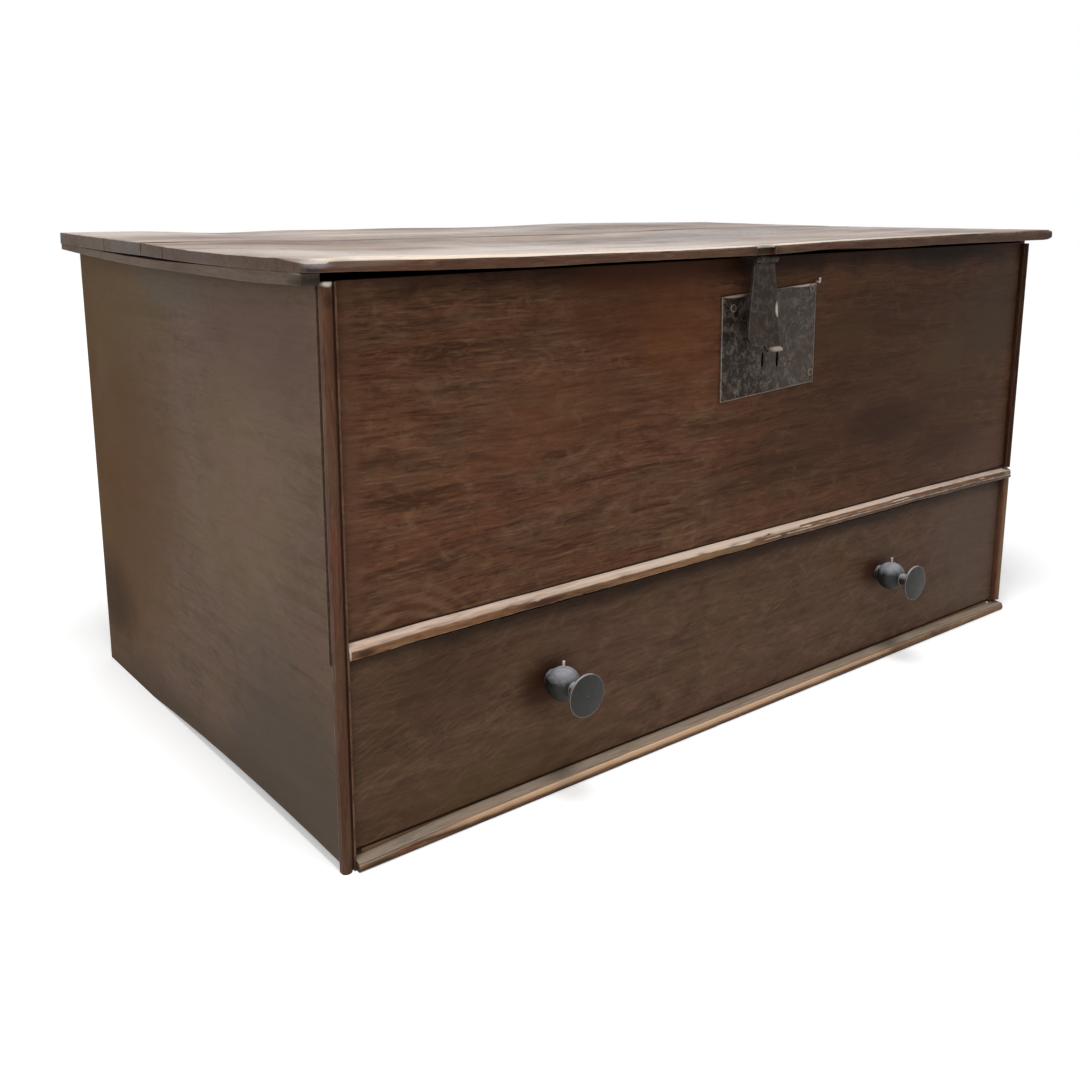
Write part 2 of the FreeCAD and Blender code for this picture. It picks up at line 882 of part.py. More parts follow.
def hasp():
    """Forged strap that swings on the lid: one knuckle, a leaning tongue and a curled finger lip."""
    body = new_body("hasp", -S.hasp_x, -S.hasp_y, hasp_z)
    face = S.hasp_back - S.hasp_thick
    top = -S.hasp_shoulder
    foot = -S.hasp_length
    wide = S.hasp_top_half
    left_foot = -wide - S.hasp_lean_left
    right_foot = wide + S.hasp_lean_right
    r = S.hasp_round
    tongue = [
        (-wide, top),
        (left_foot, foot + r),
        Arc(left_foot + r, foot + r, 1),
        (left_foot + r, foot),
        (right_foot, foot),
        (wide, top),
    ]
    pad(body, XZ, [tongue], face, S.hasp_thick)
    neck = box(-S.hasp_knuckle / 2, top - S.hasp_thick, S.hasp_knuckle / 2, 0)
    pad(body, XZ, [neck], face, S.hasp_thick)
    barrel = [Circle(0, 0, S.hasp_barrel)]
    pad(body, YZ, barrel, -S.hasp_knuckle / 2, S.hasp_knuckle)
    pocket(body, YZ, [Circle(0, 0, S.hasp_bore)], -S.hasp_knuckle / 2, S.hasp_knuckle)
    lip_start = S.hasp_x - S.lip_left
    curl_y = face - S.lip_curl
    lip = [
        (face, foot + S.hasp_thick),
        (face, foot),
        Arc(curl_y, foot, -1),
        (curl_y, foot - S.lip_curl),
        (curl_y, foot - S.lip_curl - S.hasp_thick),
        Arc(curl_y, foot, 1),
        (S.hasp_back, foot),
        (S.hasp_back, foot + S.hasp_thick),
    ]
    pad(body, YZ, [lip], lip_start, S.lip_left + S.lip_right)
    return body


def hasp_staple():
    """Loop riveted to the back of the hasp; the lock's bolt passes through its eye."""
    body = new_body("hasp_staple", -S.staple_x, -S.hasp_y, hasp_z - S.staple_drop)
    y0 = S.hasp_back
    reach = S.eye_height / 2 + S.staple_wall
    tip = S.eye_far + S.staple_tip
    loop = [
        (y0, -reach),
        (tip - S.staple_wall, -reach),
        (tip, -reach + S.staple_wall),
        (tip, reach - S.staple_wall),
        (tip - S.staple_wall, reach),
        (y0, reach),
    ]
    eye = box(S.eye_near, -S.eye_height / 2, S.eye_far, S.eye_height / 2)
    pad(body, YZ, [loop, eye], -S.staple_thick / 2, S.staple_thick)
    return body


def upright_slot(x, z, wide, tall):
    """Slot outline with a round top."""
    r = wide / 2
    return [
        (x - r, z),
        (x + r, z),
        (x + r, z + tall - r),
        Arc(x, z + tall - r, 1),
        (x - r, z + tall - r),
    ]


def lock_plate():
    """Hand-cut plate on the front board, a little askew, with slots for the staple and the key."""
    body = new_body("lock_plate", 0, S.front_recess - S.plate_thick, 0)
    x0 = -S.plate_x
    x1 = x0 + S.plate_width
    z0 = plate_z
    outline = [
        (x0, z0),
        (x1, z0 + S.plate_rise),
        (x1 - S.plate_lean, z0 + S.plate_rise + S.plate_height),
        (x0 - S.plate_lean, z0 + S.plate_height),
    ]
    pad(body, XZ, [outline], 0, S.plate_thick)
    slot_z = S.height - S.staple_slot_drop
    staple = box(
        -S.staple_x - S.staple_slot / 2,
        slot_z,
        -S.staple_x + S.staple_slot / 2,
        slot_z + S.staple_slot_height,
    )
    key_z = S.height - S.key_slot_drop
    key = upright_slot(S.key_x, key_z, S.key_slot, S.key_slot_height)
    split_z = S.height - S.split_slot_drop
    split = upright_slot(-S.split_slot_x, split_z, S.split_slot, S.split_slot_height)
    pocket(body, XZ, [staple, key, split], 0, S.plate_thick)
    nail_holes(body, XZ, [(x, z) for x, z, face in plate_nail_spots], 0, S.plate_thick)
    return body


def bent_tack():
    """Tack driven at the plate's top right corner and bent over."""
    body = new_body("bent_tack", plate_right - S.tack_in, 0, right_corner_z + S.tack_over)
    r = S.tack_radius
    front = S.front_recess
    pad(body, XZ, [Circle(0, 0, r)], front - S.tack_rise, S.tack_rise)
    lay = [Circle(0, front - S.tack_rise, r)]
    sketch = draw(body, XY, lay, 0)
    head = body.newObject("PartDesign::Pad", "bent_tack_head")
    head.Profile = sketch
    bind(head, "Length", S.tack_bend)
    return body


def lock_case():
    """Open-fronted iron case let into the board behind the plate."""
    body = new_body("lock_case", 0, S.front_recess, 0)
    outside = box(-S.case_left, case_foot, S.case_right, case_top)
    pad(body, XZ, [outside], 0, S.case_depth)
    w = S.case_wall
    inside = box(-S.case_left + w, case_foot + w, S.case_right - w, case_top - w)
    pocket(body, XZ, [inside], 0, S.case_depth - w)
    return body


def lock_bolt():
    """Sliding bolt with a leg and talon for the key, drawn back in its open place."""
    body = new_body("lock_bolt", bolt_x, S.front_recess + S.bolt_set, bolt_z)
    tall = S.bolt_height / 2
    leg0 = S.bolt_leg_x - bolt_x
    leg1 = leg0 + S.bolt_leg
    foot = -tall - S.bolt_leg_drop
    middle = (leg0 + leg1) / 2
    outline = [
        (0, -tall),
        (leg0, -tall),
        (leg0, foot),
        (middle - S.talon / 2, foot),
        (middle - S.talon / 2, foot + S.talon),
        (middle + S.talon / 2, foot + S.talon),
        (middle + S.talon / 2, foot),
        (leg1, foot),
        (leg1, -tall),
        (S.bolt_length, -tall),
        (S.bolt_length, tall),
        (0, tall),
    ]
    pad(body, XZ, [outline], 0, S.bolt_thick)
    return body


def bolt_guides():
    """Two staples on the case's back that hold the bolt."""
    body = new_body("bolt_guides", 0, S.front_recess, bolt_z)
    inner = S.bolt_height / 2 + S.guide_play
    outer = inner + S.guide_wall
    near = S.bolt_set - S.guide_play
    far = S.bolt_set + S.bolt_thick + S.guide_play
    back = S.case_depth - S.case_wall
    ring = box(0, -outer, back, outer)
    inside = box(near, -inner, far, inner)
    pad(body, YZ, [ring, inside], -S.guide_left_x, S.guide_width)
    pad(body, YZ, [ring, inside], S.guide_right_x, S.guide_width)
    return body


def bolt_spring():
    """Bowed leaf under the case's top that bears on the bolt."""
    body = new_body("bolt_spring", 0, S.front_recess + S.bolt_set, 0)
    x0 = S.spring_left
    x1 = S.spring_right
    top = case_top - S.case_wall
    low = bolt_z + S.bolt_height / 2 + S.guide_play
    t = S.spring_thick
    outline = [
        (x1, top),
        (x1 - t * 4, top),
        (x0, low + t),
        (x0, low),
        (x1 - t * 4, top - t),
        (x1, top - t),
    ]
    pad(body, XZ, [outline], 0, S.bolt_thick)
    return body


def key_pin():
    body = new_body("key_pin", S.key_x, S.front_recess, S.height - S.key_pin_drop)
    start = S.bolt_set
    pad(body, XZ, [Circle(0, 0, S.key_pin_radius)], start, S.case_depth - S.case_wall - start)
    return body


# ---------------------------------------------------------------- drawer


def tail_outline(play):
    """One dovetail in side view: narrow at the shoulder, wide at the lip; play is taken off all round."""
    neck = S.tail_neck / 2 - play
    wide = S.tail_wide / 2 - play
    z = S.tail_z
    y0 = lip_back + play
    y1 = drawer_back_face
    return [(y0, z - wide), (y1, z - neck), (y1, z + neck), (y0, z + wide)]


def pattern(body, feature):
    """Repeat a feature upwards, once for each dovetail."""
    axes = {item.Role: item for item in body.Origin.OriginFeatures}
    repeat = body.newObject("PartDesign::LinearPattern", body.Label + "_pattern")
    repeat.Originals = [feature]
    repeat.Direction = (axes["Z_Axis"], [""])
    bind(repeat, "Length", S.tail_pitch * (S.tail_count - 1))
    bind(repeat, "Occurrences", S.tail_count)
    body.Tip = repeat
    return repeat


def drawer_front():
    """Front with a lip at each end, lapped dovetail sockets, a groove and the knob holes."""
    body = new_body("drawer_front", 0, 0, 0)
    y0 = drawer_face
    reach = strip_inner - S.drawer_play
    z0 = S.drawer_foot
    tall = drawer_top - z0
    pad(body, XY, [box(-reach, y0, reach, lip_back)], z0, tall)
    pad(body, XY, [box(-side_outer, lip_back, side_outer, drawer_back_face)], z0, tall)
    groove_reach = side_inner + S.bottom_bite
    groove = box(
        -groove_reach,
        S.bottom_z - S.bottom_play,
        groove_reach,
        S.bottom_z + S.bottom_thick + S.bottom_play,
    )
    pocket(body, XZ, [groove], drawer_back_face - S.bottom_bite, S.bottom_bite)
    spigot = S.spigot_radius + S.spigot_play
    knob_holes = [
        Circle(knob_left_x, S.knob_left_z, spigot),
        Circle(knob_right_x, S.knob_right_z, spigot),
    ]
    pocket(body, XZ, knob_holes, y0, S.drawer_thick)
    left = pocket(body, YZ, [tail_outline(0)], -side_outer, S.side_thick)
    pattern(body, left)
    right = pocket(body, YZ, [tail_outline(0)], side_inner, S.side_thick)
    pattern(body, right)
    return body


def drawer_side():
    """Left side with three tails at the front and a groove for the bottom."""
    body = new_body("drawer_side_left", -side_outer, 0, 0)
    y0 = drawer_back_face
    z0 = side_foot
    pad(body, YZ, [box(y0, z0, drawer_end, side_top)], 0, S.side_thick)
    groove = box(
        S.side_thick - S.bottom_bite,
        S.bottom_z - S.bottom_play,
        S.side_thick,
        S.bottom_z + S.bottom_thick + S.bottom_play,
    )
    pocket(body, XZ, [groove], y0, drawer_end - y0)
    tail = pad(body, YZ, [tail_outline(S.tail_play)], 0, S.side_thick)
    pattern(body, tail)
    return body


def drawer_back():
    reach = side_inner - S.bottom_play
    z0 = S.bottom_z + S.bottom_thick + S.bottom_play
    y0 = drawer_end - S.drawer_back_thick
    return block("drawer_back", -reach, reach, y0, drawer_end, z0, drawer_top - S.drawer_back_drop)


def drawer_bottom():
    """Two thin boards in the grooves, passing under the drawer's back."""
    reach = side_inner + S.bottom_bite - S.bottom_play
    y0 = drawer_back_face - S.bottom_bite + S.bottom_play
    y1 = S.bottom_joint
    z0 = S.bottom_z
    z1 = z0 + S.bottom_thick
    front = block("drawer_bottom_front", -reach, reach, y0, y1, z0, z1)
    back = block("drawer_bottom_back", -reach, reach, y1 + S.fit_gap, drawer_end, z0, z1)
    return [front, back]


def knob(label, x, z):
    """Turned knob: spigot, collar, ball, neck and a domed disc, bored from above for its pin."""
    body = new_body(label, x, drawer_face, z)
    ball_y = -S.ball_reach
    r = S.ball_radius
    collar_y = ball_y + root(r * r - S.collar_radius * S.collar_radius)
    neck_y = ball_y - root(r * r - S.neck_radius * S.neck_radius)
    disc_y = -S.disc_back
    edge_y = disc_y - S.disc_edge
    front_y = edge_y - S.disc_dome
    dome = (S.disc_radius * S.disc_radius + S.disc_dome * S.disc_dome) / (S.disc_dome * 2)
    outline = [
        (0, S.drawer_thick + S.spigot_proud),
        (0, front_y),
        Arc(0, front_y + dome, 1),
        (S.disc_radius, edge_y),
        (S.disc_radius, disc_y),
        (S.neck_radius, -S.neck_end),
        (S.neck_radius, neck_y),
        Arc(0, ball_y, 1),
        (S.collar_radius, collar_y),
        (S.collar_radius, 0),
        (S.spigot_radius, 0),
        (S.spigot_radius, S.drawer_thick + S.spigot_proud),
    ]
    turn(body, outline)
    bore = [Circle(0, ball_y, S.pin_radius + S.nail_play)]
    pocket(body, XY, bore, r - S.pin_depth, S.pin_depth * 2)
    return body


def knob_pins():
    """Pins standing in the tops of the two balls."""
    body = new_body("knob_pins", 0, drawer_face - S.ball_reach, 0)
    for x, z in ((knob_left_x, S.knob_left_z), (knob_right_x, S.knob_right_z)):
        start = z + S.ball_radius - S.pin_depth
        pad(body, XY, [Circle(x, 0, S.pin_radius)], start, S.pin_depth + S.pin_proud)
    return body


# ---------------------------------------------------------------- the whole chest

doc = FreeCAD.newDocument("MuleChest")
S = write_sheet()

half = S.width / 2
end_inner = half - S.end_thick
floor_z = S.front_foot + S.floor_up
strip_inner = half - S.strip_width
end_front = S.strip_depth + S.fit_gap
front_back = S.front_recess + S.front_thick

drawer_face = S.front_recess + S.drawer_set
drawer_back_face = drawer_face + S.drawer_thick
lip_back = drawer_face + S.drawer_lip
side_outer = end_inner - S.side_play
side_inner = side_outer - S.side_thick
side_foot = S.runner_z + S.runner_height + S.side_lift
drawer_top = S.front_foot - S.drawer_gap
side_top = drawer_top - S.side_drop
drawer_end = S.depth - S.drawer_back_room
knob_left_x = S.knob_left_in - half
knob_right_x = half - S.knob_right_in

lid_left = half + S.lid_over_left
lid_right = half + S.lid_over_right
lid_back = S.depth + S.lid_over_back
lid_low = S.height + S.lid_clear
cleat_foot = S.height - S.cleat_drop
cleat_back = S.depth + S.cleat_over_back
cup_half = S.lid_board / 2
cup_y = cup_half - S.lid_front
cup_radius = (cup_half * cup_half + S.lid_cup * S.lid_cup) / (S.lid_cup * 2)
cup_centre = lid_low + cup_radius
lid_edge = lid_low + S.lid_cup
lid_joint = S.lid_board - S.lid_front
hinge_x = half - S.hinge_in
hinge_y = S.depth + S.hinge_back
hinge_z = S.height + S.hinge_up
hinge_half = S.knuckle_mid / 2 + S.knuckle_gap + S.knuckle_side
tail_foot = S.height - S.tail_drop
strap_start = lid_joint + S.strap_set
strap_stop = S.depth - S.strap_stop_in
hanger_half = S.hasp_knuckle / 2 + S.hasp_gap + S.hanger_knuckle

hasp_z = S.height + S.hasp_up
plate_z = S.height - S.plate_drop
case_foot = S.height - S.case_foot_drop
case_top = S.height - S.case_top_drop

# the bolt lies where the staple's eye comes to rest when the hasp is pushed shut
eye_middle = (S.eye_near + S.eye_far) / 2
bolt_z = hasp_z - S.staple_drop * cosine(S.hasp_shut) + eye_middle * sine(S.hasp_shut)
bolt_x = -S.staple_x + S.staple_thick / 2 + S.bolt_clear

plate_face = S.front_recess - S.plate_thick
plate_right = S.plate_width - S.plate_x
right_corner_z = plate_z + S.plate_rise + S.plate_height
plate_nail_spots = [
    (S.nail_left_in - S.plate_x, plate_z + S.plate_height - S.nail_left_down, plate_face),
    (plate_right - S.nail_top_in, right_corner_z - S.nail_top_down, plate_face),
    (plate_right - S.nail_low_in, plate_z + S.plate_rise + S.nail_low_up, plate_face),
]
tail_nail_heights = [tail_foot + S.tail_nail_up, tail_foot + S.tail_nail_up + S.tail_nail_pitch]
tail_nail_spots = [
    (x, z, S.depth + S.leaf_thick) for x in (-hinge_x, hinge_x) for z in tail_nail_heights
]
strap_nail_room = strap_stop - strap_start - S.strap_nail_in - S.strap_nail_out
strap_nail_ys = [strap_start + S.strap_nail_in + strap_nail_room * i / 2 for i in range(3)]
strap_nail_spots = [
    (x, y, back_height(y - S.nail_head) - S.leaf_thick)
    for x in (-hinge_x, hinge_x)
    for y in strap_nail_ys
]
hanger_nail_ys = [S.hanger_end - S.hanger_nail_in - S.hanger_nail_pitch * i for i in range(2)]
hanger_nail_spots = [
    (-S.hasp_x, y, cup_height(y + S.nail_head, cup_radius + S.hanger_thick))
    for y in hanger_nail_ys
]


def build():
    left_end = end_board()
    left_runner = drawer_runner()
    left_side = drawer_side()
    right_joint = S.front_foot + S.waist_height + S.fit_gap
    pieces = [
        left_end,
        mirror(left_end, "end_board_right"),
        front_board(),
        *back_planks(),
        *floor_planks(),
        corner_strip("corner_strip_left", 1, 0, S.height),
        corner_strip("corner_strip_right_upper", -1, right_joint, S.height),
        corner_strip("corner_strip_right_lower", -1, S.base_height + S.fit_gap, S.front_foot - S.fit_gap),
        waist_moulding(),
        base_moulding(),
        base_rail(),
        left_runner,
        mirror(left_runner, "drawer_runner_right"),
        lid_board_front(),
        lid_board_back(),
        cleat("cleat_left", S.cleat_inset - lid_left, -half - S.cleat_clear, -S.cleat_front),
        cleat("cleat_right", half + S.cleat_clear, lid_right - S.cleat_inset, S.cleat_right_front),
        hasp_hanger(),
        hasp_pin(),
        hasp(),
        hasp_staple(),
        lock_plate(),
        nails("hanger_nails", XY, hanger_nail_spots, S.tack_length, 1),
        nails("hinge_strap_nails", XY, strap_nail_spots, S.tack_length, 1),
        nails("hinge_tail_nails", XZ, tail_nail_spots, S.nail_length, -1),
        nails("plate_nails", XZ, plate_nail_spots, S.nail_length, 1),
        bent_tack(),
        lock_case(),
        lock_bolt(),
        bolt_guides(),
        bolt_spring(),
        key_pin(),
        drawer_front(),
        left_side,
        mirror(left_side, "drawer_side_right"),
        drawer_back(),
        *drawer_bottom(),
        knob("knob_left", knob_left_x, S.knob_left_z),
        knob("knob_right", knob_right_x, S.knob_right_z),
        knob_pins(),
    ]
    for side, x in (("left", -hinge_x), ("right", hinge_x)):
        pieces.append(hinge_tail(f"hinge_tail_{side}", x))
        pieces.append(hinge_strap(f"hinge_strap_{side}", x))
        pieces.append(hinge_pin(f"hinge_pin_{side}", x))
    return pieces


def check(pieces):
    """Stop if any object failed, or if any cut took nothing away."""
    least_cut = 0.01
    for item in doc.Objects:
        if "Invalid" in item.State or "Error" in item.State:
            raise RuntimeError(f"{item.Label} did not compute: {item.State}")
        if item.TypeId != "PartDesign::Pocket":
            continue
        if item.Shape.Volume >= item.BaseFeature.Shape.Volume - least_cut:
            raise RuntimeError(f"{item.Label} cuts nothing")
    for piece in pieces:
        if piece.Shape.isNull() or not piece.Shape.isValid():
            raise RuntimeError(f"{piece.Label} has no valid shape")


def export(pieces):
    os.makedirs("parts", exist_ok=True)
    for piece in pieces:
        piece.Shape.exportStep(os.path.join("parts", piece.Label + ".step"))


all_pieces = build()
doc.recompute()
check(all_pieces)
export(all_pieces)
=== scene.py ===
import math

import bmesh
import bpy
from mathutils import Matrix, Vector, noise


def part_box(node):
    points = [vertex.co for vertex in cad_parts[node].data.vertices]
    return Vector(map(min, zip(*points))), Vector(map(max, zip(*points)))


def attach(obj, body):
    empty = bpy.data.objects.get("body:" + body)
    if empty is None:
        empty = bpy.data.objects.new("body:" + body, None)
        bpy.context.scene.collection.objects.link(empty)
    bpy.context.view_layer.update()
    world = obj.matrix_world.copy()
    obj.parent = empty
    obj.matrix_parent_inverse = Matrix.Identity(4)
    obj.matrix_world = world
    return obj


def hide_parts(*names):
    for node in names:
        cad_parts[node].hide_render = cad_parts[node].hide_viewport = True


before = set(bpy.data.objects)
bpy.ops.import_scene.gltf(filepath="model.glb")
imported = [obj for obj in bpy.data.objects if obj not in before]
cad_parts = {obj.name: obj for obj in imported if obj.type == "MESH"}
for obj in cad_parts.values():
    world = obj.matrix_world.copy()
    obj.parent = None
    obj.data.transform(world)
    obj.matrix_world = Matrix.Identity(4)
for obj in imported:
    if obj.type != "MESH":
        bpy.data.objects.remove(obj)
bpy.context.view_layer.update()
mm = 0.001

# ---- camera
# A normal lens a little above the lid, to the left of the chest and in front of it.
# The lens is shifted, so that the chest stands above the middle of the picture.
view_from = (-0.8248, -0.70047, 0.50618)
view_turn = math.radians(38.53)
view_drop = math.radians(11.59)
view_roll = math.radians(0.11)
camera = bpy.data.objects.new("camera", bpy.data.cameras.new("camera"))
bpy.context.scene.collection.objects.link(camera)
bpy.context.scene.view_settings.view_transform = "Standard"
bpy.context.scene.camera = camera
camera.data.sensor_width = 36
camera.data.lens = 37.905
camera.data.shift_x = -0.0043
camera.data.shift_y = -0.1039
camera.data.clip_start = 0.01
camera.matrix_world = (
    Matrix.Translation(view_from)
    @ Matrix.Rotation(-view_turn, 4, "Z")
    @ Matrix.Rotation(math.pi / 2 - view_drop, 4, "X")
    @ Matrix.Rotation(view_roll, 4, "Z")
)


# ---- floor, room and lamps
# A pale seamless floor in an even white room, with a lamp over the chest and a wider, weaker one
# at its front left. The floor is lifted toward white for the camera, more the farther it runs, and
# keeps the shadow.
def node(tree, kind, inputs=None, **settings):
    """A shader node with its settings, and with values or other nodes' outputs on its inputs."""
    made = tree.nodes.new("ShaderNode" + kind)
    for name, value in settings.items():
        setattr(made, name, value)
    for name, value in (inputs or {}).items():
        if isinstance(value, bpy.types.NodeSocket):
            tree.links.new(value, made.inputs[name])
        else:
            made.inputs[name].default_value = value
    return made


def math_of(tree, kind, first, second=0.0, clamp=False):
    return node(tree, "Math", {0: first, 1: second}, operation=kind, use_clamp=clamp).outputs[0]


def seen_or_mirrored(tree):
    """1 for what is seen straight, mirrored or through something clear, and 0 for lighting."""
    rays = node(tree, "LightPath")
    seen = math_of(tree, "ADD", rays.outputs["Is Camera Ray"], rays.outputs["Is Glossy Ray"])
    return math_of(tree, "ADD", seen, rays.outputs["Is Transmission Ray"], clamp=True)


room = bpy.data.worlds.new("room")
bpy.context.scene.world = room
room.use_nodes = True
sky = room.node_tree.nodes["Background"]
fill_light = 0.4
seen_white = 1.0
sky.inputs["Color"].default_value = (1, 1, 1, 1)
seen = seen_or_mirrored(room.node_tree)
level = node(room.node_tree, "MapRange", {0: seen, 3: fill_light, 4: seen_white})
room.node_tree.links.new(level.outputs[0], sky.inputs["Strength"])

floor_reach = 6
near, near_lift = 0.6, 0.3
far, far_lift = 3.0, 0.7
floor_mesh = bmesh.new()
bmesh.ops.create_grid(floor_mesh, x_segments=1, y_segments=1, size=floor_reach)
floor = bpy.data.objects.new("floor", bpy.data.meshes.new("floor"))
floor_mesh.to_mesh(floor.data)
floor_mesh.free()
bpy.context.scene.collection.objects.link(floor)
floor_paint = bpy.data.materials.new("pale_floor")
floor_paint.use_nodes = True
tree = floor_paint.node_tree
dull = tree.nodes["Principled BSDF"]
dull.inputs["Base Color"].default_value = (0.86, 0.86, 0.86, 1)
dull.inputs["Roughness"].default_value = 0.9
dull.inputs["Specular IOR Level"].default_value = 0.1
spot = node(tree, "TexCoord").outputs["Object"]
away = node(tree, "VectorMath", {0: spot}, operation="LENGTH").outputs["Value"]
lift = node(tree, "MapRange", {0: away, 1: near, 2: far, 3: near_lift, 4: far_lift}).outputs[0]
lift = math_of(tree, "MULTIPLY", seen_or_mirrored(tree), lift)
lifted = node(tree, "Emission", {"Strength": lift})
both = node(tree, "AddShader", {0: dull.outputs[0], 1: lifted.outputs[0]})
tree.links.new(both.outputs[0], tree.nodes["Material Output"].inputs["Surface"])
floor.data.materials.append(floor_paint)


def soft_lamp(name, place, target, size, watts):
    lamp = bpy.data.objects.new(name, bpy.data.lights.new(name, "AREA"))
    lamp.data.shape = "DISK"
    lamp.data.size = size
    lamp.data.energy = watts
    lamp.location = place
    aim = Vector(target) - Vector(place)
    lamp.rotation_euler = aim.to_track_quat("-Z", "Y").to_euler()
    bpy.context.scene.collection.objects.link(lamp)


soft_lamp("lamp_over", (-0.5, -0.35, 2.6), (0, 0.1, 0.2), 1.0, 50)
soft_lamp("lamp_left", (-2.4, -1.5, 1.5), (-0.3, 0.0, 0.25), 3.0, 28.5)


# ---- end boards
# Each end is one wide oak board with its grain running from front to back, rebated for the front
# and the back and housed for the floor. Its foot is worn hollow. Old wax, brown and a little dull.
def paint(red, green, blue):
    """A colour given in the usual steps of 0 to 255."""
    def share(step):
        step = step / 255
        return step / 12.92 if step <= 0.04045 else ((step + 0.055) / 1.055) ** 2.4
    return (share(red), share(green), share(blue), 1)


def clouds(tree, place, scale, detail=3.0, roughness=0.5, distortion=0.0):
    """Cloudy noise, round about a half."""
    values = {"Vector": place, "Scale": scale, "Detail": detail}
    values.update({"Roughness": roughness, "Distortion": distortion})
    return node(tree, "TexNoise", values).outputs["Fac"]


def between(tree, value, low, high, start=0.0, end=1.0, smooth=False):
    """The value's run from low to high, stretched to the run from start to end."""
    kind = "SMOOTHSTEP" if smooth else "LINEAR"
    values = {0: value, 1: low, 2: high, 3: start, 4: end}
    return node(tree, "MapRange", values, interpolation_type=kind).outputs[0]


def times(tree, first, second):
    return math_of(tree, "MULTIPLY", first, second)


def mixed(tree, share, first, second):
    """The first colour, with the second laid over it by this share."""
    values = {0: share, 6: first, 7: second}
    return node(tree, "Mix", values, data_type="RGBA").outputs[2]


def arrises(tree, radius):
    """The rounded-over normal of the piece, and how far each place is on an outer or inner edge."""
    rounded = node(tree, "Bevel", {"Radius": radius}, samples=6).outputs[0]
    plain = node(tree, "NewGeometry").outputs["Normal"]
    likeness = node(tree, "VectorMath", {0: rounded, 1: plain}, operation="DOT_PRODUCT")
    return rounded, between(tree, likeness.outputs["Value"], 0.999, 0.93)


def away_from(tree, place, centre, reach):
    """Distance from a centre, counted in the reach along each axis."""
    gap = node(tree, "VectorMath", {0: place, 1: centre}, operation="SUBTRACT").outputs[0]
    scaled = node(tree, "VectorMath", {0: gap, 1: reach}, operation="DIVIDE").outputs[0]
    return node(tree, "VectorMath", {0: scaled}, operation="LENGTH").outputs["Value"]


def curled(tree, colour, place, rings, light, deep):
    """Grain that curls round a centre, in lighter and deeper rings that fade outwards."""
    for centre, reach, count, strength in rings:
        distance = away_from(tree, place, centre, reach)
        wave = math_of(tree, "SINE", times(tree, distance, math.tau * count))
        fading = between(tree, distance, 1.0, 0.7)
        for crest, tone in ((0.9, light), (-0.9, deep)):
            shown = times(tree, between(tree, wave, 0.0, crest, 0.0, strength), fading)
            colour = mixed(tree, shown, colour, tone)
    return colour


def flecked(tree, colour, place, figure, cloudy, light):
    """Fine silver grain, at an angle to the strokes."""
    turn, amount = figure
    turned = node(tree, "Mapping", {"Vector": place, "Rotation": (0, math.radians(turn), 0)})
    fine = node(tree, "Mapping", {"Vector": turned.outputs[0], "Scale": (45, 45, 620)})
    flecks = clouds(tree, fine.outputs[0], 1.0, 3.0, 0.6, 0.3)
    flecks = between(tree, flecks, 0.54, 0.68, 0.0, amount)
    return mixed(tree, times(tree, flecks, between(tree, cloudy, 0.42, 0.56)), colour, light)


def stains_and_painted_light_over(tree, colour, place, upward, cloudy, stains_and_painted_light):
    """Stains, painted shade and painted highlights with ragged edges, one over the other."""
    ragged_edge = times(tree, math_of(tree, "SUBTRACT", cloudy, 0.5), 1.6)
    for centre, reach, mark_tone, strength, *lies_flat in stains_and_painted_light:
        ragged = math_of(tree, "ADD", away_from(tree, place, centre, reach), ragged_edge)
        cover = between(tree, ragged, 1.2, 0.3, 0.0, strength, smooth=True)
        if lies_flat:
            cover = times(tree, cover, between(tree, upward, 0.35, 0.6))
        colour = mixed(tree, cover, colour, mark_tone)
    return colour


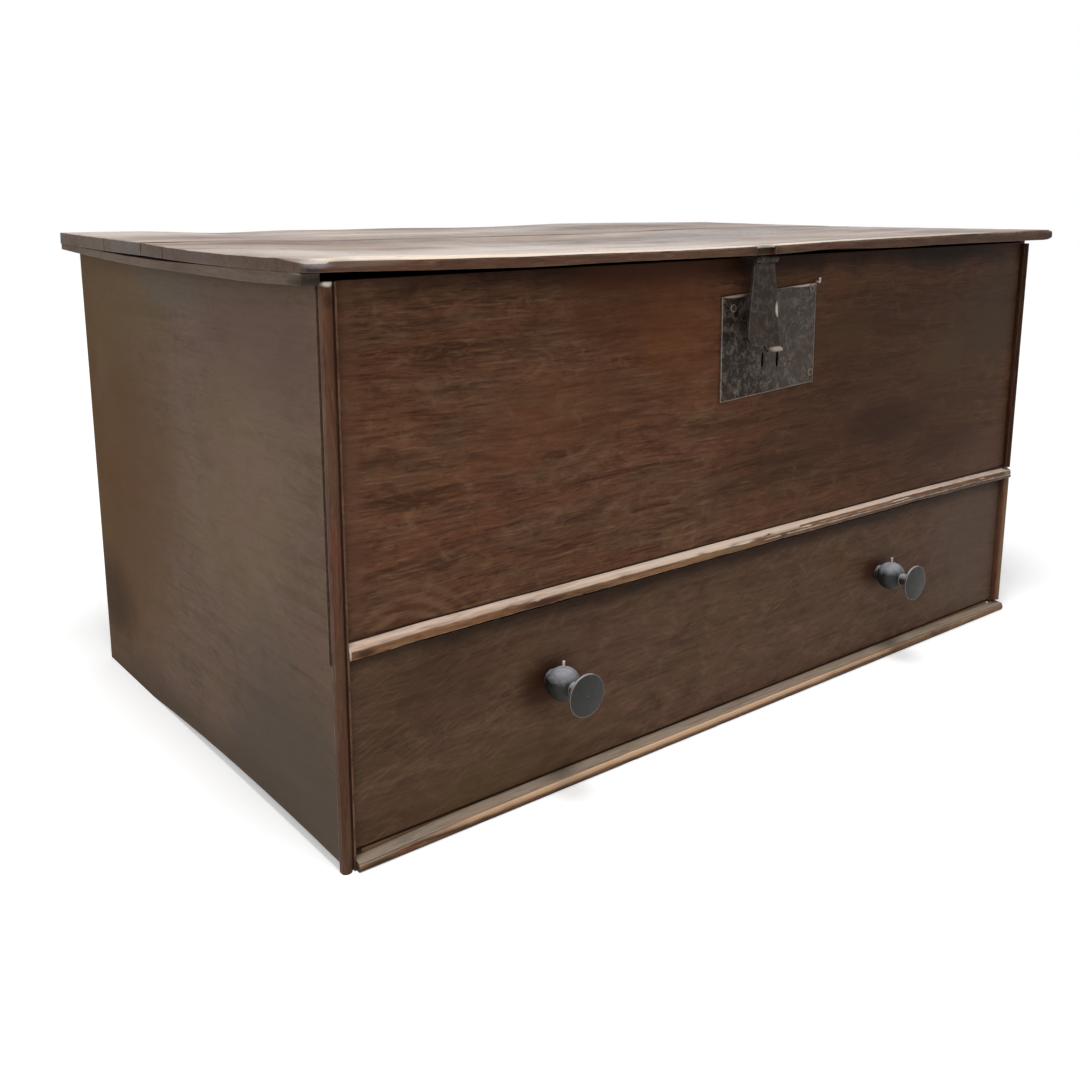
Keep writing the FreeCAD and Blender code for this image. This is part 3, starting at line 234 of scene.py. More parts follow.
def old_oak(
    name, grain, tones, shift, streak=0.7, shine=(0.44, 0.30), gloss=0.1, stains_and_painted_light=(), rings=(),
    dust_and_top_light=0.0, pale_polish_and_sheen=None, figure=None, mottled=0.0, corner_shade_and_grime=0.65, pore_depth=0.06 * mm,
):
    """Waxed old oak: streaks and pores along the grain, painted shade and grime in corners, rubbed
    arrises.

    The tones are its deep, brown, red, light and rubbed colours; the rubbed one also paints dust
    and top light on upward faces. A stain is a centre, a reach along each axis, a colour and a
    strength, and True where it lies on upward faces alone; some stains are painted shade, shadow,
    highlight or glare. Rings show where the grain curls round a centre. Dust, with painted top
    light, lies on what faces up, a film is a pale bloom with painted sheen on the polish of a
    glossy top, and a figure is fine silver grain at an angle to the strokes."""
    deep, brown, red, light, rubbed_dusty_and_top_lit = tones
    material = bpy.data.materials.new(name)
    material.use_nodes = True
    tree = material.node_tree
    shader = tree.nodes["Principled BSDF"]
    coordinates = node(tree, "TexCoord")
    place = coordinates.outputs["Object"]
    facing = node(tree, "SeparateXYZ", {0: coordinates.outputs["Normal"]}).outputs
    across = [0.0 if axis == grain else 1.0 for axis in "XYZ"]
    drift = node(tree, "TexNoise", {"Vector": place, "Scale": 5.0, "Detail": 3.0}).outputs["Color"]
    sway = {0: drift, 1: [0.02 * amount for amount in across], 2: place}
    bent = node(tree, "VectorMath", sway, operation="MULTIPLY_ADD").outputs[0]

    def along(length, width):
        """A pattern's place, where its marks are this long with the grain and this wide."""
        scale = [1 / length if axis == grain else 1 / width for axis in "XYZ"]
        placed = {"Vector": bent, "Location": shift, "Scale": scale}
        return node(tree, "Mapping", placed).outputs[0]

    # The wood: broad tones first, then streaks, fine strokes, pores and the sawn end grain.
    blotches = clouds(tree, along(0.10, 0.035), 1.0, 5.0, 0.62, 0.5)
    bands = clouds(tree, along(0.16, 0.011), 1.0, 4.0, 0.6, 0.6)
    strokes = clouds(tree, along(0.036, 0.0028), 1.0, 5.0, 0.68, 0.35)
    dashes = clouds(tree, along(0.010, 0.0011), 1.0, 3.0, 0.6)
    cloudy = clouds(tree, place, 6.0, 6.0, 0.65)
    colour = mixed(tree, between(tree, blotches, 0.44, 0.58), brown, red)
    colour = mixed(tree, between(tree, bands, 0.50, 0.34, 0.0, 0.8 * streak), colour, deep)
    colour = mixed(tree, between(tree, strokes, 0.47, 0.30, 0.0, streak), colour, deep)
    colour = mixed(tree, between(tree, strokes, 0.54, 0.74, 0.0, streak), colour, light)
    if mottled:
        patches = clouds(tree, along(0.030, 0.017), 1.0, 6.0, 0.72, 0.8)
        colour = mixed(tree, between(tree, patches, 0.53, 0.68, 0.0, mottled), colour, light)
        colour = mixed(tree, between(tree, patches, 0.46, 0.34, 0.0, mottled), colour, deep)
    colour = curled(tree, colour, bent, rings, light, deep)
    if figure:
        colour = flecked(tree, colour, bent, figure, cloudy, light)
    pores = between(tree, dashes, 0.42, 0.32, smooth=True)
    colour = mixed(tree, times(tree, pores, 0.55 * streak), colour, deep)
    colour = mixed(tree, between(tree, cloudy, 0.48, 0.7, 0.0, 0.45 * streak), colour, deep)
    facing_end = math_of(tree, "ABSOLUTE", facing[grain])
    sawn = between(tree, clouds(tree, place, 260.0, 5.0, 0.7), 0.35, 0.65)
    end_tone = mixed(tree, sawn, deep, brown)
    colour = mixed(tree, between(tree, facing_end, 0.6, 0.85), colour, end_tone)

    # Its age: bloom and painted sheen on the polish, stains and painted light, rubbed arrises, dust
    # with painted top light, and painted shade with grime in the corners.
    # A pale bloom on the upward faces of the polish, partly real bloom and partly painted sheen.
    if pale_polish_and_sheen:
        pale, amount = pale_polish_and_sheen
        polish_sheen_share = clouds(tree, along(0.35, 0.06), 1.0, 5.0, 0.65, 0.6)
        polish_sheen_share = between(tree, polish_sheen_share, 0.38, 0.68, 0.0, amount)
        polish_sheen_share = times(tree, polish_sheen_share, between(tree, facing["Z"], 0.7, 0.95))
        colour = mixed(tree, polish_sheen_share, colour, pale)
    colour = stains_and_painted_light_over(tree, colour, place, facing["Z"], cloudy, stains_and_painted_light)
    rounded, edge = arrises(tree, 1.2 * mm)
    open_air = node(tree, "AmbientOcclusion", {"Distance": 12 * mm}, samples=6).outputs["AO"]
    patchy = between(tree, clouds(tree, place, 70.0, 5.0, 0.65), 0.4, 0.6)
    worn = times(tree, times(tree, edge, patchy), between(tree, open_air, 0.6, 0.85))
    colour = mixed(tree, worn, colour, rubbed_dusty_and_top_lit)
    # Dust on upward faces, also painting them paler as lit from above.
    if dust_and_top_light:
        upward = between(tree, facing["Z"], 0.45, 0.68, 0.0, dust_and_top_light)
        dust_and_top_light_share = times(tree, upward, between(tree, strokes, 0.35, 0.6, 0.6, 1.0))
        colour = mixed(tree, dust_and_top_light_share, colour, rubbed_dusty_and_top_lit)
    # Painted shade with grime: darker where the ambient occlusion finds corners, creases and gaps.
    corner_shade_and_grime_tone = [0.6 * step for step in deep[:3]] + [1]
    colour = mixed(tree, between(tree, open_air, 0.75, 0.3, 0.0, corner_shade_and_grime), colour, corner_shade_and_grime_tone)
    tree.links.new(colour, shader.inputs["Base Color"])

    # Its polish, and the relief of strokes, hand planing and pores.
    dull, bright = shine
    rough = between(tree, cloudy, 0.35, 0.65, bright, dull)
    rough = math_of(tree, "ADD", rough, times(tree, pores, 0.15))
    tree.links.new(rough, shader.inputs["Roughness"])
    if pale_polish_and_sheen:
        mirror = between(tree, facing["Z"], 0.5, 0.95, 0.05, gloss)
        tree.links.new(mirror, shader.inputs["Specular IOR Level"])
    else:
        shader.inputs["Specular IOR Level"].default_value = gloss
    waves = clouds(tree, along(0.3, 0.06), 1.0, 2.0)
    relief = times(tree, strokes, 0.18 * mm * streak)
    relief = math_of(tree, "ADD", relief, times(tree, waves, 0.8 * mm))
    relief = math_of(tree, "SUBTRACT", relief, times(tree, pores, pore_depth))
    height = {"Strength": 1.0, "Distance": 1.0, "Height": relief, "Normal": rounded}
    tree.links.new(node(tree, "Bump", height).outputs[0], shader.inputs["Normal"])
    return material


def finish_node(name, material):
    """A piece that keeps its own shape gets its finish."""
    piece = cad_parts[name]
    piece.data.materials.clear()
    piece.data.materials.append(material)


side_brown = old_oak(
    "end_oak", "Y",
    (
        paint(72, 58, 46), paint(102, 85, 70), paint(105, 85, 75), paint(118, 101, 84),
        paint(140, 118, 96),
    ),
    (3.1, 0.2, 7.7), streak=0.42, shine=(0.6, 0.45), gloss=0.015, mottled=0.35, corner_shade_and_grime=0.25,
    stains_and_painted_light=[
        ((-0.46, 0.52, 0.24), (0.2, 0.24, 0.34), paint(88, 62, 36), 0.9),
        ((-0.46, 0.50, 0.08), (0.2, 0.07, 0.06), paint(58, 40, 24), 0.8),
        ((-0.46, 0.42, 0.40), (0.2, 0.14, 0.07), paint(98, 83, 56), 0.45),
        ((-0.46, 0.25, 0.43), (0.2, 0.14, 0.03), paint(92, 84, 74), 0.6),
        ((-0.46, 0.10, 0.40), (0.2, 0.14, 0.06), paint(94, 75, 68), 0.6),
        ((-0.46, 0.17, 0.26), (0.2, 0.12, 0.14), paint(113, 95, 77), 0.5),
        ((-0.46, 0.05, 0.05), (0.2, 0.20, 0.14), paint(78, 69, 60), 0.8),
        ((-0.46, 0.30, 0.00), (0.2, 0.30, 0.05), paint(74, 62, 52), 0.6),
    ],
)
for end in ("end_board_left", "end_board_right"):
    finish_node(end, side_brown)


# ---- front board
# One wide oak board over the drawer, lying in rebates of the ends, with its grain running across.
# It is dark red-brown under old polish, with painted shadow along its top under the lid and in a
# thin line over the waist moulding. The lock is let into its face and shows only as the plate over
# it.
front_brown = old_oak(
    "front_oak", "X",
    (
        paint(52, 32, 22), paint(87, 62, 45), paint(94, 60, 42), paint(118, 88, 66),
        paint(98, 70, 54),
    ),
    (1.7, 4.4, 2.2), streak=0.9, gloss=0.03, figure=(4, 0.45), mottled=0.5,
    stains_and_painted_light=[
        ((0.22, 0, 0.32), (0.30, 0.2, 0.2), paint(58, 37, 24), 0.7),
        ((0.40, 0, 0.38), (0.10, 0.2, 0.09), paint(64, 50, 38), 0.7),
        ((0.12, 0, 0.37), (0.06, 0.2, 0.03), paint(70, 50, 32), 0.6),
        ((0.20, 0, 0.27), (0.07, 0.2, 0.025), paint(46, 28, 18), 0.6),
        ((0.31, 0, 0.33), (0.05, 0.2, 0.035), paint(74, 56, 38), 0.6),
        ((0.33, 0, 0.23), (0.08, 0.2, 0.02), paint(52, 34, 24), 0.5),
        # Painted shadow: a dark band along the top, under the lid's overhang.
        ((-0.08, 0, 0.45), (0.46, 0.2, 0.022), paint(34, 19, 13), 0.95),
        ((0.30, 0, 0.45), (0.25, 0.2, 0.030), paint(27, 18, 13), 0.95),
        ((0.40, 0, 0.20), (0.09, 0.2, 0.04), paint(80, 56, 44), 0.6),
        ((-0.440, 0, 0.31), (0.010, 0.2, 0.3), paint(92, 63, 47), 0.5),
        # Painted shadow: a thin dark line just over the waist moulding.
        ((0, 0, 0.1838), (0.9, 0.2, 0.0020), paint(20, 13, 9), 0.95),
        ((-0.15, 0, 0.42), (0.12, 0.2, 0.05), paint(70, 40, 24), 0.6),
        ((-0.105, 0, 0.375), (0.075, 0.2, 0.060), paint(104, 60, 33), 0.5),
        ((-0.24, 0, 0.33), (0.10, 0.2, 0.04), paint(98, 62, 40), 0.4),
        ((0.11, 0, 0.42), (0.03, 0.2, 0.02), paint(86, 54, 34), 0.5),
    ],
    rings=[((-0.40, 0, 0.12), (0.10, 0.3, 0.13), 11, 0.3)],
)


sharp_from = math.radians(38)
weld = 0.01 * mm


def put(bm, name, material, slot, body, *replaced):
    """The finished mesh as a piece that rides on a body, in place of the solids it stands for."""
    bmesh.ops.recalc_face_normals(bm, faces=bm.faces)
    mesh = bpy.data.meshes.new(name)
    bm.to_mesh(mesh)
    bm.free()
    mesh.polygons.foreach_set("use_smooth", [True] * len(mesh.polygons))
    mesh.set_sharp_from_angle(angle=sharp_from)
    mesh.materials.append(material)
    piece = bpy.data.objects.new(name, mesh)
    bpy.context.scene.collection.objects.link(piece)
    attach(piece, body)
    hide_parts(*replaced)
    return piece


def worked_over(name, move, material, slot, body):
    """A piece that keeps its own shape but for the way that each place of it has moved."""
    bm = bmesh.new()
    bm.from_mesh(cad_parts[name].data)
    bmesh.ops.remove_doubles(bm, verts=bm.verts, dist=weld)
    for vert in bm.verts:
        vert.co = move(vert.co)
    piece = put(bm, name + "_aged", material, slot, body, name)
    piece.data.polygons.foreach_set("use_smooth", [False] * len(piece.data.polygons))


front_low, front_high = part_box("front_board")
front_rise = 4.8 * mm


def top_rises(at):
    """The board's top edge stands a little higher at its right end."""
    share = (at.x - front_low.x) / (front_high.x - front_low.x)
    return at + Vector((0, 0, front_rise * share)) if at.z > front_high.z - mm else at


worked_over("front_board", top_rises, front_brown, "front_oak", "carcase")


# ---- drawer front
# A thick oak board with a lip at each end, flush with the front between the corner strips. The
# drawer's sides are dovetailed into it behind the lips. It is dark with handling round the knobs,
# and a painted shadow lies along its top under the waist moulding.
drawer_brown = old_oak(
    "drawer_oak", "X",
    (
        paint(56, 38, 28), paint(85, 64, 48), paint(87, 63, 50), paint(110, 86, 68),
        paint(122, 96, 76),
    ),
    (8.3, 1.1, 5.9), streak=0.55, gloss=0.03, figure=(25, 0.6), mottled=0.5,
    stains_and_painted_light=[
        ((-0.262, 0, 0.098), (0.035, 0.2, 0.026), paint(48, 26, 16), 0.9),
        ((-0.37, 0, 0.12), (0.08, 0.2, 0.05), paint(64, 45, 32), 0.5),
        ((0.200, 0, 0.100), (0.026, 0.2, 0.022), paint(52, 28, 18), 0.75),
        ((0.38, 0, 0.10), (0.12, 0.2, 0.1), paint(86, 70, 61), 0.6),
        ((-0.33, 0, 0.03), (0.16, 0.2, 0.03), paint(76, 58, 38), 0.5),
        # Painted shadow under the waist moulding.
        ((0, 0, 0.170), (0.8, 0.2, 0.016), paint(40, 29, 23), 0.85),
    ],
    rings=[((-0.20, 0, -0.05), (0.13, 0.3, 0.13), 7, 0.22)],
)
finish_node("drawer_front", drawer_brown)


# ---- inside and back
# Planks that are not meant to be seen: floor, back, runners, rail and the drawer's own box. The
# oak was left from the saw, dry and paler, and has gone grey-brown.
dry_tones = (
    paint(78, 58, 42), paint(124, 98, 72), paint(116, 90, 66), paint(156, 130, 100),
    paint(160, 136, 106),
)
dry = {"shine": (0.85, 0.65), "pore_depth": 0.12 * mm}
dry_across = old_oak("dry_oak_across", "X", dry_tones, (0.4, 9.2, 3.3), **dry)
dry_along = old_oak("dry_oak_along", "Y", dry_tones, (5.4, 2.2, 8.3), **dry)
for plank in (
    "back_plank_lower", "back_plank_upper", "floor_plank_front", "floor_plank_back", "base_rail",
    "drawer_back", "drawer_bottom_front", "drawer_bottom_back",
):
    finish_node(plank, dry_across)
for plank in ("drawer_side", "drawer_runner"):
    for side in ("left", "right"):
        finish_node(f"{plank}_{side}", dry_along)


# ---- lid boards
# Two oak boards side by side on their cleats, the wide front one cupped and both twisted a little
# with age. The top is waxed to a gloss, with a pale bloom and painted glare on it. The front arris
# and the front corners are rubbed away and pale, partly painted glare, and painted shade darkens
# the notch over the hasp, the lower front edge at the right and the underside of the left front
# corner, under a painted highlight. Both boards have split a little at their left end.
lid_shine = old_oak(
    "lid_oak", "X",
    (
        paint(58, 44, 36), paint(92, 66, 50), paint(90, 60, 46), paint(120, 92, 74),
        paint(120, 98, 80),
    ),
    (6.1, 6.6, 0.3), streak=0.95, shine=(0.45, 0.25), gloss=0.2,
    pale_polish_and_sheen=(paint(172, 150, 132), 0.7),
    stains_and_painted_light=[
        # Pale along the front arris and the left front of the top: rubbed wood with painted glare
        # of the polish.
        ((-0.25, -0.0215, 0.462), (0.55, 0.0240, 0.02), paint(214, 198, 180), 0.95, True),
        ((0.10, -0.0225, 0.464), (0.40, 0.0200, 0.02), paint(198, 186, 172), 0.85, True),
        ((-0.37, 0.010, 0.462), (0.12, 0.045, 0.02), paint(214, 198, 182), 0.7, True),
        ((-0.32, 0.32, 0.464), (0.08, 0.10, 0.02), paint(100, 72, 56), 0.55, True),
        ((-0.06, 0.52, 0.464), (0.12, 0.06, 0.02), paint(80, 54, 38), 0.75, True),
        # Pale patches on the top: painted glare of the polish.
        ((-0.16, 0.40, 0.464), (0.16, 0.022, 0.02), paint(190, 172, 154), 0.45, True),
        ((-0.20, 0.09, 0.464), (0.26, 0.13, 0.02), paint(204, 190, 176), 0.45, True),
        ((-0.445, -0.0200, 0.4605), (0.045, 0.0035, 0.0026), paint(112, 94, 84), 0.9),
        ((-0.458, 0.000, 0.4615), (0.018, 0.026, 0.0040), paint(76, 68, 62), 0.9),
        # Painted highlight on the left front corner, and painted shade under it.
        ((-0.470, -0.012, 0.4608), (0.011, 0.014, 0.0035), paint(138, 134, 138), 0.9),
        ((-0.472, -0.012, 0.4565), (0.010, 0.014, 0.0020), paint(44, 42, 46), 0.9),
        ((-0.165, -0.0216, 0.4602), (0.035, 0.0040, 0.0010), paint(30, 19, 12), 0.9),
        ((0.32, -0.0216, 0.4650), (0.15, 0.0040, 0.0010), paint(34, 24, 16), 0.8),
        ((0.10, 0.23, 0.464), (0.22, 0.045, 0.02), paint(62, 48, 38), 0.6, True),
        ((0.04, 0.16, 0.464), (0.12, 0.030, 0.02), paint(66, 52, 42), 0.5, True),
        # Painted shade along the lower front edge at the right.
        ((0.30, -0.0216, 0.459), (0.20, 0.0040, 0.006), paint(58, 42, 32), 0.6),
        # Painted shade in the notch over the hasp.
        ((-0.03, -0.0216, 0.458), (0.022, 0.0100, 0.008), paint(46, 32, 25), 0.8),
        # Painted glare of the polish near the back left.
        ((-0.45, 0.48, 0.467), (0.13, 0.10, 0.02), paint(190, 172, 152), 0.5, True),
        ((-0.4785, 0.30, 0.459), (0.003, 0.30, 0.020), paint(82, 72, 60), 0.45),
        ((-0.4785, 0.34, 0.459), (0.003, 0.055, 0.012), paint(84, 78, 70), 0.5),
        # Painted shade at the lower right front corner.
        ((0.475, -0.01, 0.458), (0.06, 0.04, 0.012), paint(44, 38, 32), 0.95),
    ],
)


def whole(bm):
    return bm.verts[:] + bm.edges[:] + bm.faces[:]


def plank_between(low, high):
    """A squared board with these two corners."""
    bm = bmesh.new()
    bmesh.ops.create_cube(bm, size=1)
    bmesh.ops.scale(bm, vec=high - low, verts=bm.verts)
    bmesh.ops.translate(bm, vec=(low + high) / 2, verts=bm.verts)
    return bm


def cut_across(bm, axis, spots_and_painted_light):
    """Cuts the skin along planes at these places, so that it can bend there."""
    normal = Vector([float(axis == "XYZ"[i]) for i in range(3)])
    for spot in spots_and_painted_light:
        bmesh.ops.bisect_plane(bm, geom=whole(bm), plane_co=normal * spot, plane_no=normal)


def spots_between(low, high, count):
    """The places that part the way from low to high into this many steps."""
    return [low + (high - low) * step / count for step in range(1, count)]


def ease(bm, edges, radius, segments):
    """Takes edges off: flat with one segment, and rounder with more."""
    bmesh.ops.bevel(
        bm, geom=edges, offset=radius, offset_type="OFFSET", segments=segments, profile=0.5,
        affect="EDGES", material=-1, clamp_overlap=True,
    )


def edges_where(bm, test):
    """The outer edges, at more than 30 degrees, that have both ends where the test holds."""
    return [
        edge for edge in bm.edges
        if edge.is_manifold and edge.calc_face_angle(0) > math.radians(30)
        and all(test(vert.co) for vert in edge.verts)
    ]


def rub(bm, low, high, reach, seed):
    """Rubs the upper arrises down unevenly: the nearer to an edge, the more a place may lose."""
    depth = 1.0 * mm
    patches = (9.0, 60.0, 60.0)
    bm.normal_update()
    for vert in bm.verts:
        if vert.co.z < (low.z + high.z) / 2:
            continue
        gaps = sorted(min(vert.co[i] - low[i], high[i] - vert.co[i]) for i in range(3))
        close = max(0.0, 1 - gaps[1] / reach)
        spot = Vector([vert.co[i] * patches[i] for i in range(3)]) + Vector((seed, seed, seed))
        vert.co -= vert.normal * depth * close * max(0.0, noise.noise(spot) + 0.25)


def bell(x, middle, width):
    """1 at the middle, falling away to both sides."""
    return math.exp(-(((x - middle) / width) ** 2))


def bells(x, rises):
    """Rises and dips one after the other, each a height in mm, its middle and its width."""
    return sum(height * mm * bell(x, middle, width) for height, middle, width in rises)


def ramp(x, start, length):
    """0 up to the start, then evenly up to 1."""
    return min(1.0, max(0.0, (x - start) / length))


lid_low, lid_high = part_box("lid_board_front")
lid_back_low, lid_back_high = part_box("lid_board_back")
lid_top = lid_back_high.z
lid_middle = (lid_low.y + lid_high.y) / 2
cup = 5.4 * mm
skin = 11.4 * mm
back_rise = 2.4 * mm
front_edge_under = [(2.0, -0.47, 0.07), (-0.8, -0.29, 0.05), (3.2, 0.08, 0.07)]
front_edge_over = [(-3.3, -0.15, 0.2)]
back_edge_over = [(-2.4, -0.15, 0.13), (-3.0, -0.31, 0.06), (-2.7, 0.045, 0.09)]


def arched(y):
    """1 along the middle of the front board, falling to 0 at its long edges."""
    return 1 - ((y - lid_middle) / (lid_high.y - lid_middle)) ** 2


def behind_joint(y):
    """0 at the joint between the two boards and 1 at the lid's back."""
    return (y - lid_back_low.y) / (lid_back_high.y - lid_back_low.y)


def lid_under(x, y):
    """Height of the lid's underside: cupped in front of the joint, rising behind it."""
    left_end = bell(x, lid_low.x, 0.06)
    right_end = 0.7 * bell(x, lid_high.x, 0.12)
    edge = lid_low.z + cup
    if y > lid_back_low.y:
        share = behind_joint(y)
        return edge + back_rise * share - 0.7 * mm * left_end * math.sin(math.pi * share)
    forward = 1 - (y - lid_low.y) / (lid_high.y - lid_low.y)
    lift = bells(x, front_edge_under) + 2.6 * mm * ramp(x, 0.12, 0.12)
    lift += 6.0 * mm * max(0.0, (x - 0.452) / 0.0225) ** 2 * forward ** 9
    hollow = cup * (1 - left_end - right_end) + 1.2 * mm * left_end
    return edge - arched(y) * hollow + lift * forward ** 3


def lid_over(x, y):
    """Height of the lid's top: lower along the middle of the front edge, higher at the right."""
    front = bells(x, front_edge_over) + 2.35 * mm * ramp(x, -0.05, 0.35) ** 1.5
    back = bells(x, back_edge_over) - 1.9 * mm * max(0.0, (x - 0.15) / 0.312) ** 2
    share = (y - lid_low.y) / (lid_back_high.y - lid_low.y)
    height = lid_low.z + cup + skin + front * (1 - share) + back * share
    if y > lid_back_low.y:
        return height + back_rise * behind_joint(y) ** 1.4
    flat_ends = 0.95 * bell(x, lid_high.x, 0.12) + 0.42 * bell(x, lid_low.x, 0.07)
    return height - 4.6 * mm * (1 - flat_ends) * arched(y) - 0.6 * mm * share


def bend_lid(bm):
    """Brings the flat board, which stands on z = 0, to its place between the two faces."""
    for vert in bm.verts:
        share = vert.co.z / skin
        under = lid_under(vert.co.x, vert.co.y)
        over = lid_over(vert.co.x, vert.co.y)
        vert.co.z = min(under + (over - under) * share, lid_top)


hair = 0.1 * mm


def split_end(bm, at_y, end_x):
    """A short drying split in the board's left end."""
    half_wide, deep = 0.8 * mm, 3 * mm
    cut_across(bm, "Y", (at_y - half_wide, at_y, at_y + half_wide))
    for vert in bm.verts:
        if abs(vert.co.y - at_y) < hair and vert.co.x < end_x + mm:
            vert.co.x += deep


lid_cuts = 120
low = Vector((lid_low.x, lid_low.y, 0))
high = Vector((lid_high.x, lid_high.y, skin))
board = plank_between(low, high)
left_round, right_round = 12 * mm, 10 * mm
for corner, radius in ((low.x, left_round), (high.x, right_round)):
    upright = [
        edge for edge in board.edges
        if all(abs(vert.co.x - corner) < mm and vert.co.y < low.y + mm for vert in edge.verts)
        and abs(edge.verts[0].co.z - edge.verts[1].co.z) > skin / 2
    ]
    ease(board, upright, radius, 8)
chamfer = 4.4 * mm
past_corners = low.y + 17 * mm
front_top = edges_where(board, lambda at: at.z > skin - mm and at.y < past_corners)
ease(board, front_top, chamfer, 1)
under_ease = 0.4 * mm
ease(board, edges_where(board, lambda at: at.z < mm), under_ease, 2)
# A notch over the hasp, cut up into the front edge.
notch = (Vector((-43.5 * mm, low.y, 0)), Vector((-19 * mm, low.y + 5.5 * mm, 8 * mm)))
side_play = 0.3 * mm
for spot in notch:
    cut_across(board, "X", (spot.x - side_play, spot.x + side_play))
cut_across(board, "Y", (notch[1].y,))
cut_across(board, "Z", (notch[1].z - side_play, notch[1].z))
for vert in board.verts:
    beside = notch[0].x + side_play / 2 < vert.co.x < notch[1].x - side_play / 2
    if beside and vert.co.y < notch[1].y and vert.co.z < notch[1].z - side_play / 2:
        vert.co.y = notch[1].y
bmesh.ops.remove_doubles(board, verts=board.verts, dist=weld)
cut_across(board, "X", spots_between(low.x, high.x, lid_cuts))
# The chamfer reaches farther down the front at its left end.
for vert in board.verts:
    if abs(vert.co.z - skin + chamfer) < hair and vert.co.y < low.y + hair:
        vert.co.z += 1.8 * mm + 1.4 * mm * ramp(vert.co.x, -0.30, 0.08)
cut_across(board, "Y", spots_between(low.y, high.y, 32))
front_rub = 6 * mm
rub(board, low, high, front_rub, 3.3)
front_split = 0.248
split_end(board, front_split, low.x)
bend_lid(board)
put(board, "lid_front_plank", lid_shine, "lid_oak", "lid", "lid_board_front")

low = Vector((lid_back_low.x, lid_back_low.y, 0))
high = Vector((lid_back_high.x, lid_back_high.y, skin))
board = plank_between(low, high)
top_ease = 0.9 * mm
ease(board, edges_where(board, lambda at: at.z > skin - mm), top_ease, 2)
cut_across(board, "X", spots_between(low.x, high.x, lid_cuts))
cut_across(board, "Y", spots_between(low.y, high.y, 22))
back_rub = 5 * mm
rub(board, low, high, back_rub, 8.1)
back_split = 0.397
split_end(board, back_split, low.x)
bend_lid(board)
put(board, "lid_back_plank", lid_shine, "lid_oak", "lid", "lid_board_back")


# ---- lid cleats
# A cleat of squared oak is nailed under each end of the lid and holds its two boards together.
# Its grain runs from front to back. It follows the lid, thins to the back and is worn round in
# front. The left one has a highlight painted along its front end, and the right one's front end is
# painted dark as in shade under the lid.
cleat_brown = old_oak(
    "cleat_oak", "Y",
    (
        paint(64, 52, 44), paint(98, 83, 70), paint(94, 78, 67), paint(108, 93, 80),
        paint(112, 98, 84),
    ),
    (2.9, 5.1, 6.4), streak=0.5, shine=(0.6, 0.45), gloss=0.05,
    stains_and_painted_light=[
        ((-0.466, 0.002, 0.447), (0.03, 0.022, 0.006), paint(48, 44, 38), 0.9),
        # Painted highlight along the top of the left cleat's front end.
        ((-0.466, 0.000, 0.4545), (0.03, 0.020, 0.002), paint(112, 116, 108), 0.9),
        # Painted shade on the right cleat's front end, under the lid.
        ((0.466, 0.012, 0.447), (0.03, 0.030, 0.02), paint(40, 35, 30), 0.9),
    ],
)


def cleat_foot(foot, y):
    """Height of the underside: worn up in front, and thinner to the back."""
    behind = max(0.0, (y - 0.29) / 0.244)
    return foot + 2.2 * mm * bell(y, 0, 0.05) + 6.4 * mm * behind ** 1.5


bar_tall = 9 * mm
front_ease, foot_ease = 2.4 * mm, 0.7 * mm
shrunk = 2.2 * mm
for side in ("left", "right"):
    cleat_low, cleat_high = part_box(f"cleat_{side}")
    low = Vector((cleat_low.x, cleat_low.y, 0))
    high = Vector((cleat_high.x, cleat_high.y, bar_tall))
    bar = plank_between(low, high)
    ease(bar, edges_where(bar, lambda at: at.y < low.y + mm), front_ease, 3)
    ease(bar, edges_where(bar, lambda at: at.z < mm), foot_ease, 2)
    cut_across(bar, "Y", spots_between(low.y, high.y, 60))
    for vert in bar.verts:
        foot = cleat_foot(cleat_low.z, vert.co.y)
        head = lid_under(vert.co.x, vert.co.y) - hair
        # The left cleat's outer side has shrunk away from the lid and shows a crack.
        if side == "left" and vert.co.x < (low.x + high.x) / 2:
            head -= shrunk * bell(vert.co.y, 0.3, 0.11)
        vert.co.z = foot + (head - foot) * vert.co.z / high.z
    put(bar, f"cleat_bar_{side}", cleat_brown, "front_oak", "lid", f"cleat_{side}")


# ---- corner strips
# Thin strips planed with a bead, nailed down the front edges of the two ends. The right one is in
# two lengths, with the waist moulding between. The outer arris is rubbed to bare tan wood.
strip_brown = old_oak(
    "strip_oak", "Z",
    (
        paint(56, 38, 29), paint(88, 64, 48), paint(92, 58, 44), paint(112, 86, 68),
        paint(134, 104, 82),
    ),
    (1.2, 7.1, 2.5), streak=0.8, gloss=0.04, corner_shade_and_grime=0.3,
    stains_and_painted_light=[
        ((-0.4560, 0.0, 0.4465), (0.0050, 0.01, 0.0024), paint(222, 214, 200), 1.0),
        ((-0.4560, 0.0, 0.4350), (0.0040, 0.01, 0.0060), paint(60, 40, 32), 0.7),
        ((-0.4600, 0.0, 0.0700), (0.0040, 0.01, 0.0700), paint(60, 40, 30), 0.6),
        ((0.4550, 0.0, 0.0900), (0.0060, 0.01, 0.1000), paint(128, 102, 74), 0.6),
    ],
)
strip_dark = old_oak(
    "strip_oak_dark", "Z",
    (
        paint(26, 17, 12), paint(56, 36, 25), paint(66, 38, 26), paint(84, 56, 40),
        paint(92, 62, 44),
    ),
    (2.6, 3.1, 0.5), streak=0.8, gloss=0.03,
)
finish_node("corner_strip_left", strip_brown)
finish_node("corner_strip_right_lower", strip_brown)
strip_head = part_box("corner_strip_right_upper")[1].z
strip_rise = 3.4 * mm


def reaches_up(at):
    """The right strip runs on nearly to the lid."""
    return at + Vector((0, 0, strip_rise)) if at.z > strip_head - mm else at


worked_over("corner_strip_right_upper", reaches_up, strip_dark, "moulding_oak", "carcase")


